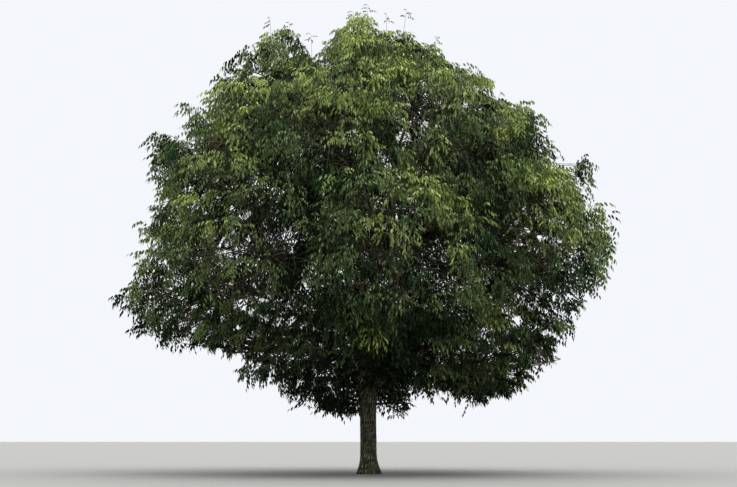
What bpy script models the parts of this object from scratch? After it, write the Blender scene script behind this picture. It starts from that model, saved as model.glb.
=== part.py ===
"""An open-grown ash tree in full leaf, 12.3 m high, standing on its flat cut at ground level.

Metres, +Z up, origin at the middle of the cut under the trunk. +X is to the right of the view
that the sizes come from, and -Y is towards it. The trunk carries boughs on short collars, each
bough or side limb ends at one mass of foliage, and each mass keeps to a space of its own.
"""
import math

import bmesh
import bpy
import numpy as np
from mathutils import Vector

# The trunk: its girth at chest height, the flare at its foot, and its tip under the top mass.
TRUNK_RADIUS = 0.212
TRUNK_TAPER = 0.03
FLARE_RADIUS = 0.36
FLARE_HEIGHT = 0.55
FLARE_LOBES = 5
TRUNK_TIP_Z = 9.35
TRUNK_LEAN = -0.0056
TRUNK_BOW = 0.05
TRUNK_BOW_RATE = 0.55
TRUNK_SIDES = 12

# Where the trunk gives its girth away: among the boughs and leaders, and then up the stem.
FORK_Z = 2.9
FORK_LENGTH = 2.6
FORK_THINNING = 0.62
STEM_Z = 5.5
STEM_THINNING = 0.55

# The crown's outline: an egg round an axis that leans a little to -X above the widest height.
CROWN_TOP_Z = 12.05
CROWN_WIDEST_Z = 5.0
CROWN_FOOT_Z = 1.35
CROWN_RADIUS = 6.6
CROWN_LEAN = -0.085
CROWN_FOOT_SHIFT = 0.5
CROWN_FOOT_SHIFT_Z = 3.2
CROWN_TAPER = 0.61

# Limbs: radius at the base, how far up the trunk or leader they leave it, and how steeply.
LIMB_SIDES = 6
LIMB_STEPS = 6
LIMB_TIP_SHARE = 0.42
LIMB_TAPER_EASE = 0.85
LIMB_PULL = 0.36
SKIRT_RADIUS, SKIRT_FROM_Z, SKIRT_SPREAD_Z, SKIRT_RISE = 0.07, 2.1, 0.42, 36
LEADER_RADIUS, LEADER_FROM_Z, LEADER_STEP_Z, LEADER_RISE = 0.105, 2.72, 0.2, 60
SIDE_RADIUS = 0.056
SIDE_SHARES = {"lower": (0.14, 0.1), "upper": (0.36, 0.12)}
SIDE_FOLLOW = 0.35
INNER_RADIUS, INNER_DROP, INNER_RISE = 0.03, 0.05, 8

# A limb leaves its parent on a short collar, and each piece stops just short of the next.
COLLAR_SWELL = 1.22
COLLAR_SPARE = 0.02
TOUCH_GAP = 0.0003

# The space of a mass: half the bare strip to the next mass, and the room left round limbs.
SPACE_GAP = 0.02
SPACE_ROUNDNESS = 3.4
LIMB_CLEARANCE = 0.03
CORE_CLEARANCE = 0.28

# Close growth inside a mass, and the directions in which leaves and twigs leave it.
CORE_SHARE = 0.71
CORE_ROUGHNESS = 0.13
CORE_LEAST = 0.15
WAYS_PER_MASS = 15
WAYS_PER_INNER_MASS = 6
WAYS_PER_TWIG = 5
SPARE_WAYS = 1.45
TWIG_RADIUS = 0.034

# A leaf here is a pointed blade that stands for a whole spray. Its places are shares of its
# length, and its heights are in thicknesses.
LEAF_LENGTH = 1.35
LEAF_WIDTH = 0.95
LEAF_THICKNESS = 0.06
LEAF_WIDEST, LEAF_RUN, LEAF_SAG = 0.45, 0.94, 0.3
LEAF_TOP, LEAF_UNDER, LEAF_EDGE = 0.5, 0.8, 1.4
LEAF_ROOT_DEPTH = 0.09
LEAF_ROOT_SHARE = 0.85
LEAF_SIZES = (1.0, 0.8, 0.62, 0.48)
LEAF_DROOP = 0.55
LEAF_FACES = ((0, 4, 1), (1, 4, 2), (2, 4, 3), (3, 4, 0), (0, 1, 5), (1, 2, 5), (2, 3, 5), (3, 0, 5))

# Thin shoots that stand above the crown's top: how far each tip is from its mass's middle.
SHOOTS = {
    "top": ((0.3, -0.1, 1.45),),
    "crest_1": ((0.5, 0.1, 1.6), (-0.3, 0.3, 1.75)),
    "crest_2": ((-0.2, 0.2, 1.8),),
    "crest_3": ((-0.3, 0.0, 1.7),),
    "crest_4": ((0.6, -0.1, 1.8),),
}
SHOOT_RADIUS = 0.018
SHOOT_LEAF_SIZE = 0.26

GOLDEN_ANGLE = math.pi * (3 - math.sqrt(5))
UP = Vector((0, 0, 1))

# Rings of foliage masses: name, count, first azimuth in degrees, distance from the crown's
# axis, height, rise towards +X, rise of every second mass, reach across, reach up and down.
RINGS = (
    ("skirt", 7, 14.0, 3.6, 3.0, -0.25, 0.0, 2.6, 1.7),
    ("lower", 8, 9.0, 4.6, 5.1, 0.4, 0.5, 2.8, 2.5),
    ("upper", 8, -12.0, 4.1, 7.8, 0.0, 0.5, 2.75, 2.4),
    ("crest", 4, 25.0, 2.0, 10.15, 0.0, 0.0, 2.4, 2.0),
    ("top", 1, 0.0, 0.3, 10.85, 0.0, 0.0, 1.5, 1.5),
    ("inner", 2, 172.0, 1.1, 1.8, 0.0, 0.0, 1.35, 0.75),
)
RING_JITTER = {"azimuth": 4.0, "distance": 0.16, "height": 0.15}

# Where a bough enters its mass: the share of the way out to the mass's inner face, and how
# far that place is below (-) or above (+) the middle, as a slope.
ENTRY_SHARE = 0.8
ENTRY_SLOPE = {"skirt": 0.05, "lower": -0.45, "upper": -0.55, "crest": -2.6, "inner": 0.1}


def unit(v):
    return v.normalized()


def bearing(azimuth, elevation):
    """A unit vector at an azimuth from +X and an elevation above level, in degrees."""
    a, e = math.radians(azimuth), math.radians(elevation)
    return Vector((math.cos(a) * math.cos(e), math.sin(a) * math.cos(e), math.sin(e)))


def wobble(*numbers):
    """A repeatable value from -1 to 1 for a set of numbers."""
    mixed = sum(n * k for n, k in zip(numbers, (12.9898, 78.233, 37.719, 4.581)))
    return 2 * ((math.sin(mixed) * 43758.5453) % 1.0) - 1


def crown_axis(z):
    """The middle of the crown at a height, which leans to -X upwards."""
    return Vector((CROWN_LEAN * max(0.0, z - CROWN_WIDEST_Z), 0, z))


def crown_outline(z):
    """The middle and radius of the egg at a height. Its foot lies to +X of the trunk."""
    foot = CROWN_FOOT_SHIFT * min(1.0, max(0.0, 2 * (CROWN_FOOT_SHIFT_Z - z)))
    half = CROWN_TOP_Z - CROWN_WIDEST_Z if z > CROWN_WIDEST_Z else CROWN_WIDEST_Z - CROWN_FOOT_Z
    share = abs(z - CROWN_WIDEST_Z) / half
    return crown_axis(z).x + foot, CROWN_RADIUS * max(0.0, 1 - share**2) ** CROWN_TAPER


def trunk_axis(z):
    return Vector((TRUNK_LEAN * z * z, TRUNK_BOW * math.sin(TRUNK_BOW_RATE * z), z))


def trunk_radius(z):
    """Chest-height girth up to the first boughs, then less above each set that leaves it."""
    fork = min(1.0, max(0.0, (z - FORK_Z) / FORK_LENGTH)) ** 0.8
    stem = max(0.0, z - STEM_Z) / (TRUNK_TIP_Z - STEM_Z)
    thinned = (1 - FORK_THINNING * fork) * (1 - STEM_THINNING * stem)
    return TRUNK_RADIUS * (1 - TRUNK_TAPER * z) * thinned


def trunk_ring_radius(z, azimuth):
    """The flare stands out in low buttresses that fade upwards."""
    fade = max(0.0, 1 - z / FLARE_HEIGHT) ** 2
    lobes = 0.75 + 0.25 * math.cos(FLARE_LOBES * azimuth + 0.6)
    return trunk_radius(z) + (FLARE_RADIUS - TRUNK_RADIUS) * fade * lobes


class Limb:
    """One tapering limb on a smooth curve from its base to its tip."""

    def __init__(self, name, base, base_way, tip, tip_way, radius, tip_radius):
        self.name, self.base, self.tip, self.tip_way = name, base, tip, tip_way
        self.radius, self.tip_radius, self.collars = radius, tip_radius, []
        pull = LIMB_PULL * (tip - base).length
        self.handles = (base, base + base_way * pull, tip - tip_way * pull, tip)

    def point(self, share):
        a, b, c, d = self.handles
        t, u = share, 1 - share
        return a * u**3 + b * (3 * u * u * t) + c * (3 * u * t * t) + d * t**3

    def way(self, share):
        a, b, c, d = self.handles
        t, u = share, 1 - share
        return unit((b - a) * (u * u) + (c - b) * (2 * u * t) + (d - c) * (t * t))

    def girth(self, share):
        return self.radius + (self.tip_radius - self.radius) * share**LIMB_TAPER_EASE

    def rings(self):
        shares = [i / LIMB_STEPS for i in range(LIMB_STEPS + 1)]
        return [(self.point(s), self.way(s), self.girth(s)) for s in shares]


class Trunk:
    """The trunk, with the same calls as a limb. Its share is its height."""

    name, base = "trunk", Vector((0, 0, 0))
    heights = (0, 0.1, 0.24, 0.42, 0.7, 1.3, 2.0, 2.7, 3.3, 4.0, 5.0, 6.2, 7.6, TRUNK_TIP_Z)

    def __init__(self):
        self.collars = []
        self.tip = trunk_axis(TRUNK_TIP_Z)
        self.tip_radius = trunk_radius(TRUNK_TIP_Z)

    def point(self, z):
        return trunk_axis(z)

    def way(self, z):
        return unit(trunk_axis(z + 0.01) - trunk_axis(z - 0.01))

    def girth(self, z):
        return trunk_radius(z)


def ring_masses():
    """Every mass: its name, azimuth, middle, reach each way, and its rank among the masses."""
    masses = []
    for row, (ring, count, first, distance, height, tilt, step, across, updown) in enumerate(RINGS):
        for i in range(count):
            azimuth = first + 360 * i / count + RING_JITTER["azimuth"] * wobble(row, i, 1)
            z = height + RING_JITTER["height"] * wobble(row, i, 2) * (updown > 1)
            z += tilt * math.cos(math.radians(azimuth)) + step * (i % 2)
            out = distance + RING_JITTER["distance"] * wobble(row, i, 3) * (updown > 1)
            middle = crown_axis(z) + bearing(azimuth, 0) * out
            masses.append({
                "name": f"foliage_{ring}_{i + 1}" if count > 1 else f"foliage_{ring}",
                "ring": ring, "azimuth": azimuth, "middle": middle,
                "reach": Vector((across, across, updown)),
                "rank": len(masses),
            })
    return masses


def entry_of(mass):
    """The point where the limb meets the mass, and the way that the mass's stem goes on."""
    inward = -bearing(mass["azimuth"], 0) + UP * ENTRY_SLOPE[mass["ring"]]
    way = unit(inward)
    scaled = Vector(w / r for w, r in zip(way, mass["reach"]))
    place = mass["middle"] + way * (ENTRY_SHARE / scaled.length)
    return place, -way


def joint_on(parent, share, way, radius):
    """A collar on the parent at a share of its length: the child's base lies on its flat end."""
    root, run = parent.point(share), parent.way(share)
    lean = math.acos(max(-1.0, min(1.0, way.dot(run))))
    out = parent.girth(share) + radius * math.cos(lean) + COLLAR_SPARE
    length = out / math.sin(lean)
    end = root + way * length
    parent.collars.append((root, way, end, radius))
    return end + way * TOUCH_GAP


def limb_to(mass, name, base, way, radius):
    """A limb from a base on a collar to the mass, which then starts from its tip."""
    place, way_in = entry_of(mass)
    limb = Limb(name, base, way, place, way_in, radius, radius * LIMB_TIP_SHARE)
    start_mass(mass, limb.tip + limb.tip_way * TOUCH_GAP, limb.tip_way, limb.tip_radius)
    return limb


def start_mass(mass, base, way, radius):
    mass["stem_base"], mass["stem_way"], mass["stem_radius"] = base, way, radius


def grow_limbs(masses):
    """The trunk, its boughs and leaders, and the side limbs, each to the mass that it carries."""
    trunk = Trunk()
    limbs, leaders = [trunk], []
    by_ring = {ring[0]: [m for m in masses if m["ring"] == ring[0]] for ring in RINGS}
    skirts = len(by_ring["skirt"])
    for i, mass in enumerate(by_ring["skirt"]):
        height = SKIRT_FROM_Z + SKIRT_SPREAD_Z * ((3 * i) % skirts) / (skirts - 1)
        way = bearing(mass["azimuth"], SKIRT_RISE)
        base = joint_on(trunk, height, way, SKIRT_RADIUS)
        limbs.append(limb_to(mass, f"bough_skirt_{i + 1}", base, way, SKIRT_RADIUS))
    for i, mass in enumerate(by_ring["crest"]):
        height = LEADER_FROM_Z + LEADER_STEP_Z * ((2 * i) % 3 + (i > 1) / 2)
        way = bearing(mass["azimuth"], LEADER_RISE)
        base = joint_on(trunk, height, way, LEADER_RADIUS)
        leaders.append(limb_to(mass, f"leader_{i + 1}", base, way, LEADER_RADIUS))
    limbs += leaders
    for ring, (first_share, step) in SIDE_SHARES.items():
        for i, mass in enumerate(by_ring[ring]):
            leader = leaders[i // 2]
            share = first_share + step * (i % 2)
            aim = unit(entry_of(mass)[0] - leader.point(share))
            way = unit(aim + leader.way(share) * SIDE_FOLLOW)
            base = joint_on(leader, share, way, SIDE_RADIUS)
            limbs.append(limb_to(mass, f"limb_{ring}_{i + 1}", base, way, SIDE_RADIUS))
    for mass in by_ring["inner"]:
        way = bearing(mass["azimuth"], INNER_RISE)
        base = joint_on(trunk, mass["middle"].z - INNER_DROP, way, INNER_RADIUS)
        start_mass(mass, base, way, INNER_RADIUS)
    start_mass(by_ring["top"][0], trunk.tip + UP * TOUCH_GAP, UP, trunk.tip_radius)
    return limbs


def limb_samples(limbs):
    """Points and radii along every limb and collar, close enough to test clearance against."""
    points, radii = [], []
    for limb in limbs:
        last = TRUNK_TIP_Z if limb.name == "trunk" else 1.0
        count = 140 if limb.name == "trunk" else 70
        for i in range(count + 1):
            share = last * i / count
            points.append(tuple(limb.point(share)))
            radii.append(limb.girth(share))
        for root, _, end, radius in limb.collars:
            for i in range(7):
                points.append(tuple(root.lerp(end, i / 6)))
                radii.append(radius * COLLAR_SWELL)
    return np.array(points), np.array(radii)


class Spaces:
    """The space of each mass: its reach round its middle, inside the crown's egg, on its own
    side of the planes between it and its neighbours, and clear of every limb."""

    def __init__(self, masses, limbs):
        self.middles = np.array([tuple(m["middle"]) for m in masses])
        self.reaches = np.array([tuple(m["reach"]) for m in masses])
        self.weights = self.reaches[:, 0] * self.reaches[:, 2]
        self.limb_points, self.limb_radii = limb_samples(limbs)

    def hold(self, rank, points):
        """True for each point that lies in the mass's space, limbs left aside."""
        p = np.atleast_2d(np.asarray(points, float))
        own = ((p[:, None] - self.middles[None]) ** 2).sum(-1) - self.weights[None]
        others = np.delete(own, rank, axis=1)
        spans = np.linalg.norm(np.delete(self.middles, rank, 0) - self.middles[rank], axis=1)
        apart = (others - own[:, [rank]] > 2 * spans[None] * SPACE_GAP).all(1)
        off = np.abs(p - self.middles[rank]) / self.reaches[rank]
        near = (off**SPACE_ROUNDNESS).sum(1) < 1
        axis, egg = np.array([crown_outline(z) for z in p[:, 2]]).T
        inside = np.hypot(p[:, 0] - axis, p[:, 1]) < egg
        return apart & near & inside

    def clear(self, points, spare=LIMB_CLEARANCE):
        """True for each point that is clear of every limb."""
        p = np.atleast_2d(np.asarray(points, float))
        gaps = np.linalg.norm(p[:, None] - self.limb_points[None], axis=2) - self.limb_radii
        return (gaps > spare).all(1)

    def far_side(self, rank, way):
        """How far the space runs from its middle along a direction."""
        middle = self.middles[rank]
        steps = np.arange(1, 61) * 0.04
        held = self.hold(rank, middle + np.outer(steps, way))
        return float(steps[held.argmin() - 1]) if not held.all() else float(steps[-1])


def tube(rings, sides, turn=0.0):
    """A closed tapering tube through rings of (place, direction, radius)."""
    bm = bmesh.new()
    side = rings[0][1].orthogonal().normalized()
    loops = []
    for place, way, radius in rings:
        side = unit(side - way * side.dot(way))
        across = way.cross(side)
        angles = [turn + 2 * math.pi * i / sides for i in range(sides)]
        loops.append([bm.verts.new(place + (side * math.cos(a) + across * math.sin(a)) * radius)
                      for a in angles])
    skin(bm, loops)
    return bm


def skin(bm, loops):
    """Faces between loops of points, and a flat cap on each end."""
    for low, high in zip(loops, loops[1:]):
        for i in range(len(low)):
            j = (i + 1) % len(low)
            bm.faces.new((low[i], low[j], high[j], high[i]))
    bm.faces.new(list(reversed(loops[0])))
    bm.faces.new(loops[-1])


def trunk_mesh():
    bm = bmesh.new()
    loops = []
    for z in Trunk.heights:
        middle = trunk_axis(z)
        loop = []
        for i in range(TRUNK_SIDES):
            a = 2 * math.pi * i / TRUNK_SIDES
            radius = trunk_ring_radius(z, a)
            loop.append(bm.verts.new((middle.x + radius * math.cos(a),
                                      middle.y + radius * math.sin(a), z)))
        loops.append(loop)
    skin(bm, loops)
    return bm


def leaf_blade(root, way, size):
    """A pointed blade of eight faces that arches out of its root and droops to its tip."""
    length, thick = LEAF_LENGTH * size, LEAF_THICKNESS * size
    across = unit(way.cross(UP))
    up = unit(across.cross(way)) * thick
    side = across * (LEAF_WIDTH * size / 2)
    middle = root + way * (length * LEAF_WIDEST)
    tip = root + way * (length * LEAF_RUN) - UP * (length * LEAF_SAG)
    return (root, middle + side - up * LEAF_EDGE, tip, middle - side - up * LEAF_EDGE,
            middle + up * LEAF_TOP, middle - up * LEAF_UNDER)


def blade_samples(corners):
    """Points over a leaf, for the tests of space and clearance."""
    root, left, tip, right, top, under = (np.array(c) for c in corners)
    points = [root, left, tip, right, top, under]
    for side in (left, right):
        for u in (0.25, 0.5, 0.75):
            points += [root + (side - root) * u, tip + (side - tip) * u, top + (side - top) * u]
    points += [root + (top - root) * 0.5, tip + (top - tip) * 0.33, tip + (top - tip) * 0.66]
    return np.array(points)


def leaf_mesh(corners):
    bm = bmesh.new()
    verts = [bm.verts.new(c) for c in corners]
    for face in LEAF_FACES:
        bm.faces.new([verts[i] for i in face])
    bmesh.ops.recalc_face_normals(bm, faces=bm.faces)
    return bm


def spread_ways(count, turn):
    """Directions spread evenly over a ball by the golden angle."""
    ways = []
    for i in range(count):
        z = 1 - 2 * (i + 0.5) / count
        r, a = math.sqrt(1 - z * z), turn + i * GOLDEN_ANGLE
        ways.append(Vector((r * math.cos(a), r * math.sin(a), z)))
    return ways


def outward_ways(mass, count):
    """Evenly spread directions, fewer of them towards the bare middle of the crown."""
    outward = unit(mass["middle"] - Vector((0, 0, CROWN_WIDEST_Z - 1)))
    ways = spread_ways(int(count * SPARE_WAYS), 1.7 * mass["rank"])
    return sorted(ways, key=lambda way: -way.dot(outward))[:count]


def leaf_with_room(mass, spaces, root, way, droop):
    """The largest leaf from this root that stays in the space and off the limbs, if any does."""
    aim = unit(way - UP * droop) if way.z > -0.5 else unit(way)
    for size in LEAF_SIZES:
        corners = leaf_blade(root, aim, size)
        points = blade_samples(corners)
        if spaces.hold(mass["rank"], points[1:]).all() and spaces.clear(points).all():
            return [corners]
    return []


def twig_leaves(mass, spaces, start, end, turn):
    """One leaf on from the twig's end and one to each side of it, where there is room."""
    run = unit(end - start)
    side = unit(run.cross(UP) if abs(run.z) < 0.95 else run.cross(Vector((1, 0, 0))))
    leaves = []
    ways = (run, run * 0.45 + side * 0.9, run * 0.45 - side * 0.9)
    for i, way in enumerate(ways):
        back = 0.02 if i == 0 else LEAF_ROOT_DEPTH
        droop = LEAF_DROOP * (1 + 0.3 * wobble(mass["rank"], i, turn))
        leaves += leaf_with_room(mass, spaces, end - run * back, way, droop)
    return leaves


def core_leaf(mass, spaces, way):
    """A leaf that stands straight out of the core."""
    run = spaces.far_side(mass["rank"], tuple(way))
    root = mass["middle"] + way * (run * CORE_SHARE * LEAF_ROOT_SHARE)
    return leaf_with_room(mass, spaces, root, way, LEAF_DROOP * 0.6)


def shoot_parts(mass, reach):
    """A thin upright shoot with a pair of small leaves at its tip."""
    start = mass["middle"] + Vector((reach[0], reach[1], 0)) * 0.6
    tip = mass["middle"] + Vector(reach)
    run = unit(tip - start)
    parts = [tube([(start, run, SHOOT_RADIUS * 1.6), (tip, run, SHOOT_RADIUS * 0.7)], 3)]
    for azimuth in (20, 200):
        way = unit(bearing(azimuth + 50 * reach[0], 0) - UP * 0.4)
        parts.append(leaf_mesh(leaf_blade(tip - run * 0.06, way, SHOOT_LEAF_SIZE)))
    return parts


def core_mesh(mass, spaces):
    """The close growth inside the mass: a rough ball kept inside the space and off the limbs."""
    steps = np.linspace(0.15, 1.0, 12)
    bm = bmesh.new()
    bmesh.ops.create_icosphere(bm, subdivisions=2, radius=1.0)
    for i, vert in enumerate(bm.verts):
        way = unit(vert.co)
        run = spaces.far_side(mass["rank"], tuple(way))
        length = run * CORE_SHARE * (1 + CORE_ROUGHNESS * wobble(mass["rank"], i))
        while length > CORE_LEAST and not spaces.clear(
                np.array(mass["middle"]) + np.outer(steps * length, way), CORE_CLEARANCE).all():
            length *= 0.9
        vert.co = mass["middle"] + way * length
    return bm


MATERIALS = {}


def material(name, colour, roughness):
    if name not in MATERIALS:
        made = bpy.data.materials.new(name)
        made.use_nodes = True
        shader = made.node_tree.nodes["Principled BSDF"]
        shader.inputs["Base Color"].default_value = (*colour, 1)
        shader.inputs["Roughness"].default_value = roughness
        shader.inputs["Metallic"].default_value = 0.0
        made.diffuse_color = (*colour, 1)
        MATERIALS[name] = made
    return MATERIALS[name]


def bark():
    return material("bark", (0.052, 0.047, 0.03), 0.92)


def leaf_green():
    return material("leaf_green", (0.035, 0.06, 0.014), 0.6)


def place_object(name, bm, origin, finish, collection=None):
    """An object with its origin at a natural point and its mesh round that."""
    bmesh.ops.translate(bm, verts=bm.verts, vec=-origin)
    bmesh.ops.triangulate(bm, faces=bm.faces)
    mesh = bpy.data.meshes.new(name)
    bm.to_mesh(mesh)
    bm.free()
    mesh.materials.append(finish)
    obj = bpy.data.objects.new(name, mesh)
    obj.location = origin
    (collection or bpy.context.scene.collection).objects.link(obj)
    return obj


def keep_largest(obj):
    """Drops loose scraps and sealed hollows: the largest outer surface is the solid."""
    bm = bmesh.new()
    bm.from_mesh(obj.data)
    bm.faces.ensure_lookup_table()
    seen, islands = set(), []
    for face in bm.faces:
        if face.index in seen:
            continue
        island, edge = [], [face]
        seen.add(face.index)
        while edge:
            here = edge.pop()
            island.append(here)
            for e in here.edges:
                for other in e.link_faces:
                    if other.index not in seen:
                        seen.add(other.index)
                        edge.append(other)
        islands.append(island)
    largest = max(islands, key=len)
    spare = [f for island in islands if island is not largest for f in island]
    bmesh.ops.delete(bm, geom=spare, context="FACES")
    bm.to_mesh(obj.data)
    bm.free()


def is_closed(mesh):
    bm = bmesh.new()
    bm.from_mesh(mesh)
    closed = bool(bm.faces) and all(e.is_manifold for e in bm.edges)
    bm.free()
    return closed


def fuse(obj, parts, origin):
    """Joins the parts to the object by one Boolean union on a collection, and applies it."""
    if not parts:
        return
    helpers = bpy.data.collections.new(obj.name + "_parts")
    bpy.context.scene.collection.children.link(helpers)
    for i, bm in enumerate(parts):
        place_object(f"{obj.name}_part_{i}", bm, origin, obj.data.materials[0], helpers)
    join = obj.modifiers.new("join", "BOOLEAN")
    join.operation = "UNION"
    join.operand_type = "COLLECTION"
    join.collection = helpers
    for solver in ("EXACT", "MANIFOLD"):
        join.solver = solver
        bpy.context.view_layer.update()
        graph = bpy.context.evaluated_depsgraph_get()
        joined = bpy.data.meshes.new_from_object(obj.evaluated_get(graph))
        if is_closed(joined):
            break
    obj.modifiers.remove(join)
    obj.data = joined
    for helper in list(helpers.objects):
        bpy.data.objects.remove(helper)
    bpy.data.collections.remove(helpers)
    keep_largest(obj)


def build_limb(limb):
    mesh = trunk_mesh() if limb.name == "trunk" else tube(limb.rings(), LIMB_SIDES)
    obj = place_object(limb.name, mesh, limb.base, bark())
    collars = []
    for root, way, end, radius in limb.collars:
        rings = [(root, way, radius * COLLAR_SWELL), (end, way, radius)]
        collars.append(tube(rings, LIMB_SIDES))
    fuse(obj, collars, limb.base)
    return obj


def twig_with_leaves(mass, spaces, way, turn):
    """A main twig from the mass's middle and the leaves at its end, if it has a clear run."""
    run = spaces.far_side(mass["rank"], tuple(way))
    start = mass["middle"]
    tip = start + way * (run - 0.6 * LEAF_LENGTH * (0.6 if mass["ring"] == "inner" else 1))
    line = np.array(start) + np.linspace(0, 1, 12)[:, None] * np.array(tip - start)
    if not (spaces.hold(mass["rank"], line).all() and spaces.clear(line).all()):
        return []
    twig = tube([(start, way, TWIG_RADIUS), (tip, way, TWIG_RADIUS * 0.6)], 3, 0.9 * turn)
    return [twig] + [leaf_mesh(c) for c in twig_leaves(mass, spaces, start, tip, turn)]


def build_mass(mass, spaces):
    """The stem, with the close growth, leaves and twigs of its mass fused on."""
    origin, middle, radius = mass["stem_base"], mass["middle"], mass["stem_radius"]
    inner_end = (middle, unit(middle - origin), radius * 0.7)
    stem = tube([(origin, mass["stem_way"], radius), inner_end], LIMB_SIDES)
    obj = place_object(mass["name"], stem, origin, leaf_green())
    parts = [core_mesh(mass, spaces)]
    count = WAYS_PER_INNER_MASS if mass["ring"] == "inner" else WAYS_PER_MASS
    for i, way in enumerate(outward_ways(mass, count)):
        if i % WAYS_PER_TWIG == 0:
            parts += twig_with_leaves(mass, spaces, way, i)
        else:
            parts += [leaf_mesh(c) for c in core_leaf(mass, spaces, way)]
    for reach in SHOOTS.get(mass["name"].replace("foliage_", ""), ()):
        parts += shoot_parts(mass, reach)
    fuse(obj, parts, origin)
    return obj


def main():
    for obj in list(bpy.data.objects):
        bpy.data.objects.remove(obj)
    tree = bpy.data.objects.new("ash_tree", None)
    bpy.context.scene.collection.objects.link(tree)
    masses = ring_masses()
    limbs = grow_limbs(masses)
    spaces = Spaces(masses, limbs)
    for obj in [build_limb(limb) for limb in limbs] + [build_mass(m, spaces) for m in masses]:
        obj.parent = tree


main()
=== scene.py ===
"""The looks of an open-grown ash tree in full leaf, 12.3 m high, rooted in level ground.

Metres, +Z up, origin at the middle of the trunk's foot. The tree is put together from the ground
up: trunk, boughs, twigs, leaves. The limbs and the spaces of the foliage masses follow the same
rule as the solids, and the growth inside each space is carried on to twigs and single leaves.
"""
import math

import bpy
import numpy as np
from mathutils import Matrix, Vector


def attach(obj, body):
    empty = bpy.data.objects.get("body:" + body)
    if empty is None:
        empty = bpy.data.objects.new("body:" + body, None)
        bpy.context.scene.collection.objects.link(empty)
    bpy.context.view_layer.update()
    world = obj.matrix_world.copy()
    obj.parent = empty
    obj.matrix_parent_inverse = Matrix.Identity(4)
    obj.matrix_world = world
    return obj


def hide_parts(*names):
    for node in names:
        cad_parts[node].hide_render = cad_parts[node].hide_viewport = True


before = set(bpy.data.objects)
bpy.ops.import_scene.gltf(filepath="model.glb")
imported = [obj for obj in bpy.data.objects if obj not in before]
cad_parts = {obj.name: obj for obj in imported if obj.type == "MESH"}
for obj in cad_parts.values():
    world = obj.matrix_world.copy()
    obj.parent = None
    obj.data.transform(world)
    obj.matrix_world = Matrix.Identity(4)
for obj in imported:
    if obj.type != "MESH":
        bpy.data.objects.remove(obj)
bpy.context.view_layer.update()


# The trunk is one straight stem with a short root flare, which gives its girth away among the
# boughs from 2 m up. Its bark is dull olive-brown, in long ridges that split and join again
# round narrow diamond furrows, as on any ash of this girth. Modelled as a skin with that relief.
TRUNK_RADIUS, TRUNK_TAPER, TRUNK_TIP_Z = 0.212, 0.03, 9.35
TRUNK_LEAN, TRUNK_BOW, TRUNK_BOW_RATE = -0.0056, 0.05, 0.55
FLARE_RADIUS, FLARE_HEIGHT = 0.36, 0.55
FLARE_LOBES, FLARE_LOBE_DEPTH, FLARE_TURN = 5, 0.25, 0.6
FORK_Z, FORK_LENGTH, FORK_THINNING, FORK_EASE = 2.9, 2.6, 0.62, 0.8
STEM_Z, STEM_THINNING = 5.5, 0.55

# The stem thickens again under the whorl of boughs: where from, where most, and how much.
CROTCH_FROM_Z, CROTCH_Z, CROTCH_END_Z, CROTCH_SWELL = 1.35, 2.35, 3.6, 0.075
CROTCH_LOBES, CROTCH_LOBE_DEPTH, CROTCH_TURN = 3, 0.2, 1.1

# The bark's ridges, and the girth from which they stand to their full height. Rows of the skin
# are close up to the first limbs, and wide above.
RIDGE_SPACING, RIDGE_HEIGHT, DIAMOND_LENGTH = 0.046, 0.014, 0.27
FULL_RIDGE_RADIUS, FEWEST_RIDGES = 0.14, 3
BARK_COLUMNS, BARK_ROW, BARK_CLOSE_Z, BARK_HIGH_ROWS = 176, 0.015, 3.4, 110
UP = Vector((0, 0, 1))

# The waves that bend the rising and the falling ridges: how far, waves for each metre along
# the stem, waves round it, and where each starts.
RISING_WAVES = ((2.1, 1.1, 1, 0), (1.2, 3.1, -2, 1), (0.8, 8.3, 5, 0), (0.5, 17, -3, 0))
FALLING_WAVES = ((1.9, 1.7, -1, 2), (1.4, 4.3, 3, 0), (0.9, 9.7, -4, 3), (0.5, 21, 7, 0))
CREST_SHARPNESS, CREST_WEAR, CREST_BREAKS = 0.75, 0.18, 0.16


def trunk_axis(z):
    return Vector((TRUNK_LEAN * z * z, TRUNK_BOW * math.sin(TRUNK_BOW_RATE * z), z))


def trunk_radius(z):
    fork = min(1.0, max(0.0, (z - FORK_Z) / FORK_LENGTH)) ** FORK_EASE
    stem = max(0.0, z - STEM_Z) / (TRUNK_TIP_Z - STEM_Z)
    thinned = (1 - FORK_THINNING * fork) * (1 - STEM_THINNING * stem)
    return TRUNK_RADIUS * (1 - TRUNK_TAPER * z) * thinned


def flare(z, angles):
    """How far the root flare's low buttresses stand out from the stem at a height."""
    fade = max(0.0, 1 - z / FLARE_HEIGHT) ** 2
    lobes = 1 - FLARE_LOBE_DEPTH + FLARE_LOBE_DEPTH * np.cos(FLARE_LOBES * angles + FLARE_TURN)
    return (FLARE_RADIUS - TRUNK_RADIUS) * fade * lobes


def crotch(z, angles):
    """How far the stem swells where the boughs' wood runs down into it."""
    rise = min(1.0, max(0.0, (z - CROTCH_FROM_Z) / (CROTCH_Z - CROTCH_FROM_Z)))
    fall = min(1.0, max(0.0, (CROTCH_END_Z - z) / (CROTCH_END_Z - CROTCH_Z)))
    share = rise * rise * (3 - 2 * rise) * fall
    lobes = 1 - CROTCH_LOBE_DEPTH + CROTCH_LOBE_DEPTH * np.cos(CROTCH_LOBES * angles + CROTCH_TURN)
    return CROTCH_SWELL * share * lobes


def trunk_swell(z, angles):
    return flare(z, angles) + crotch(z, angles)


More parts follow.
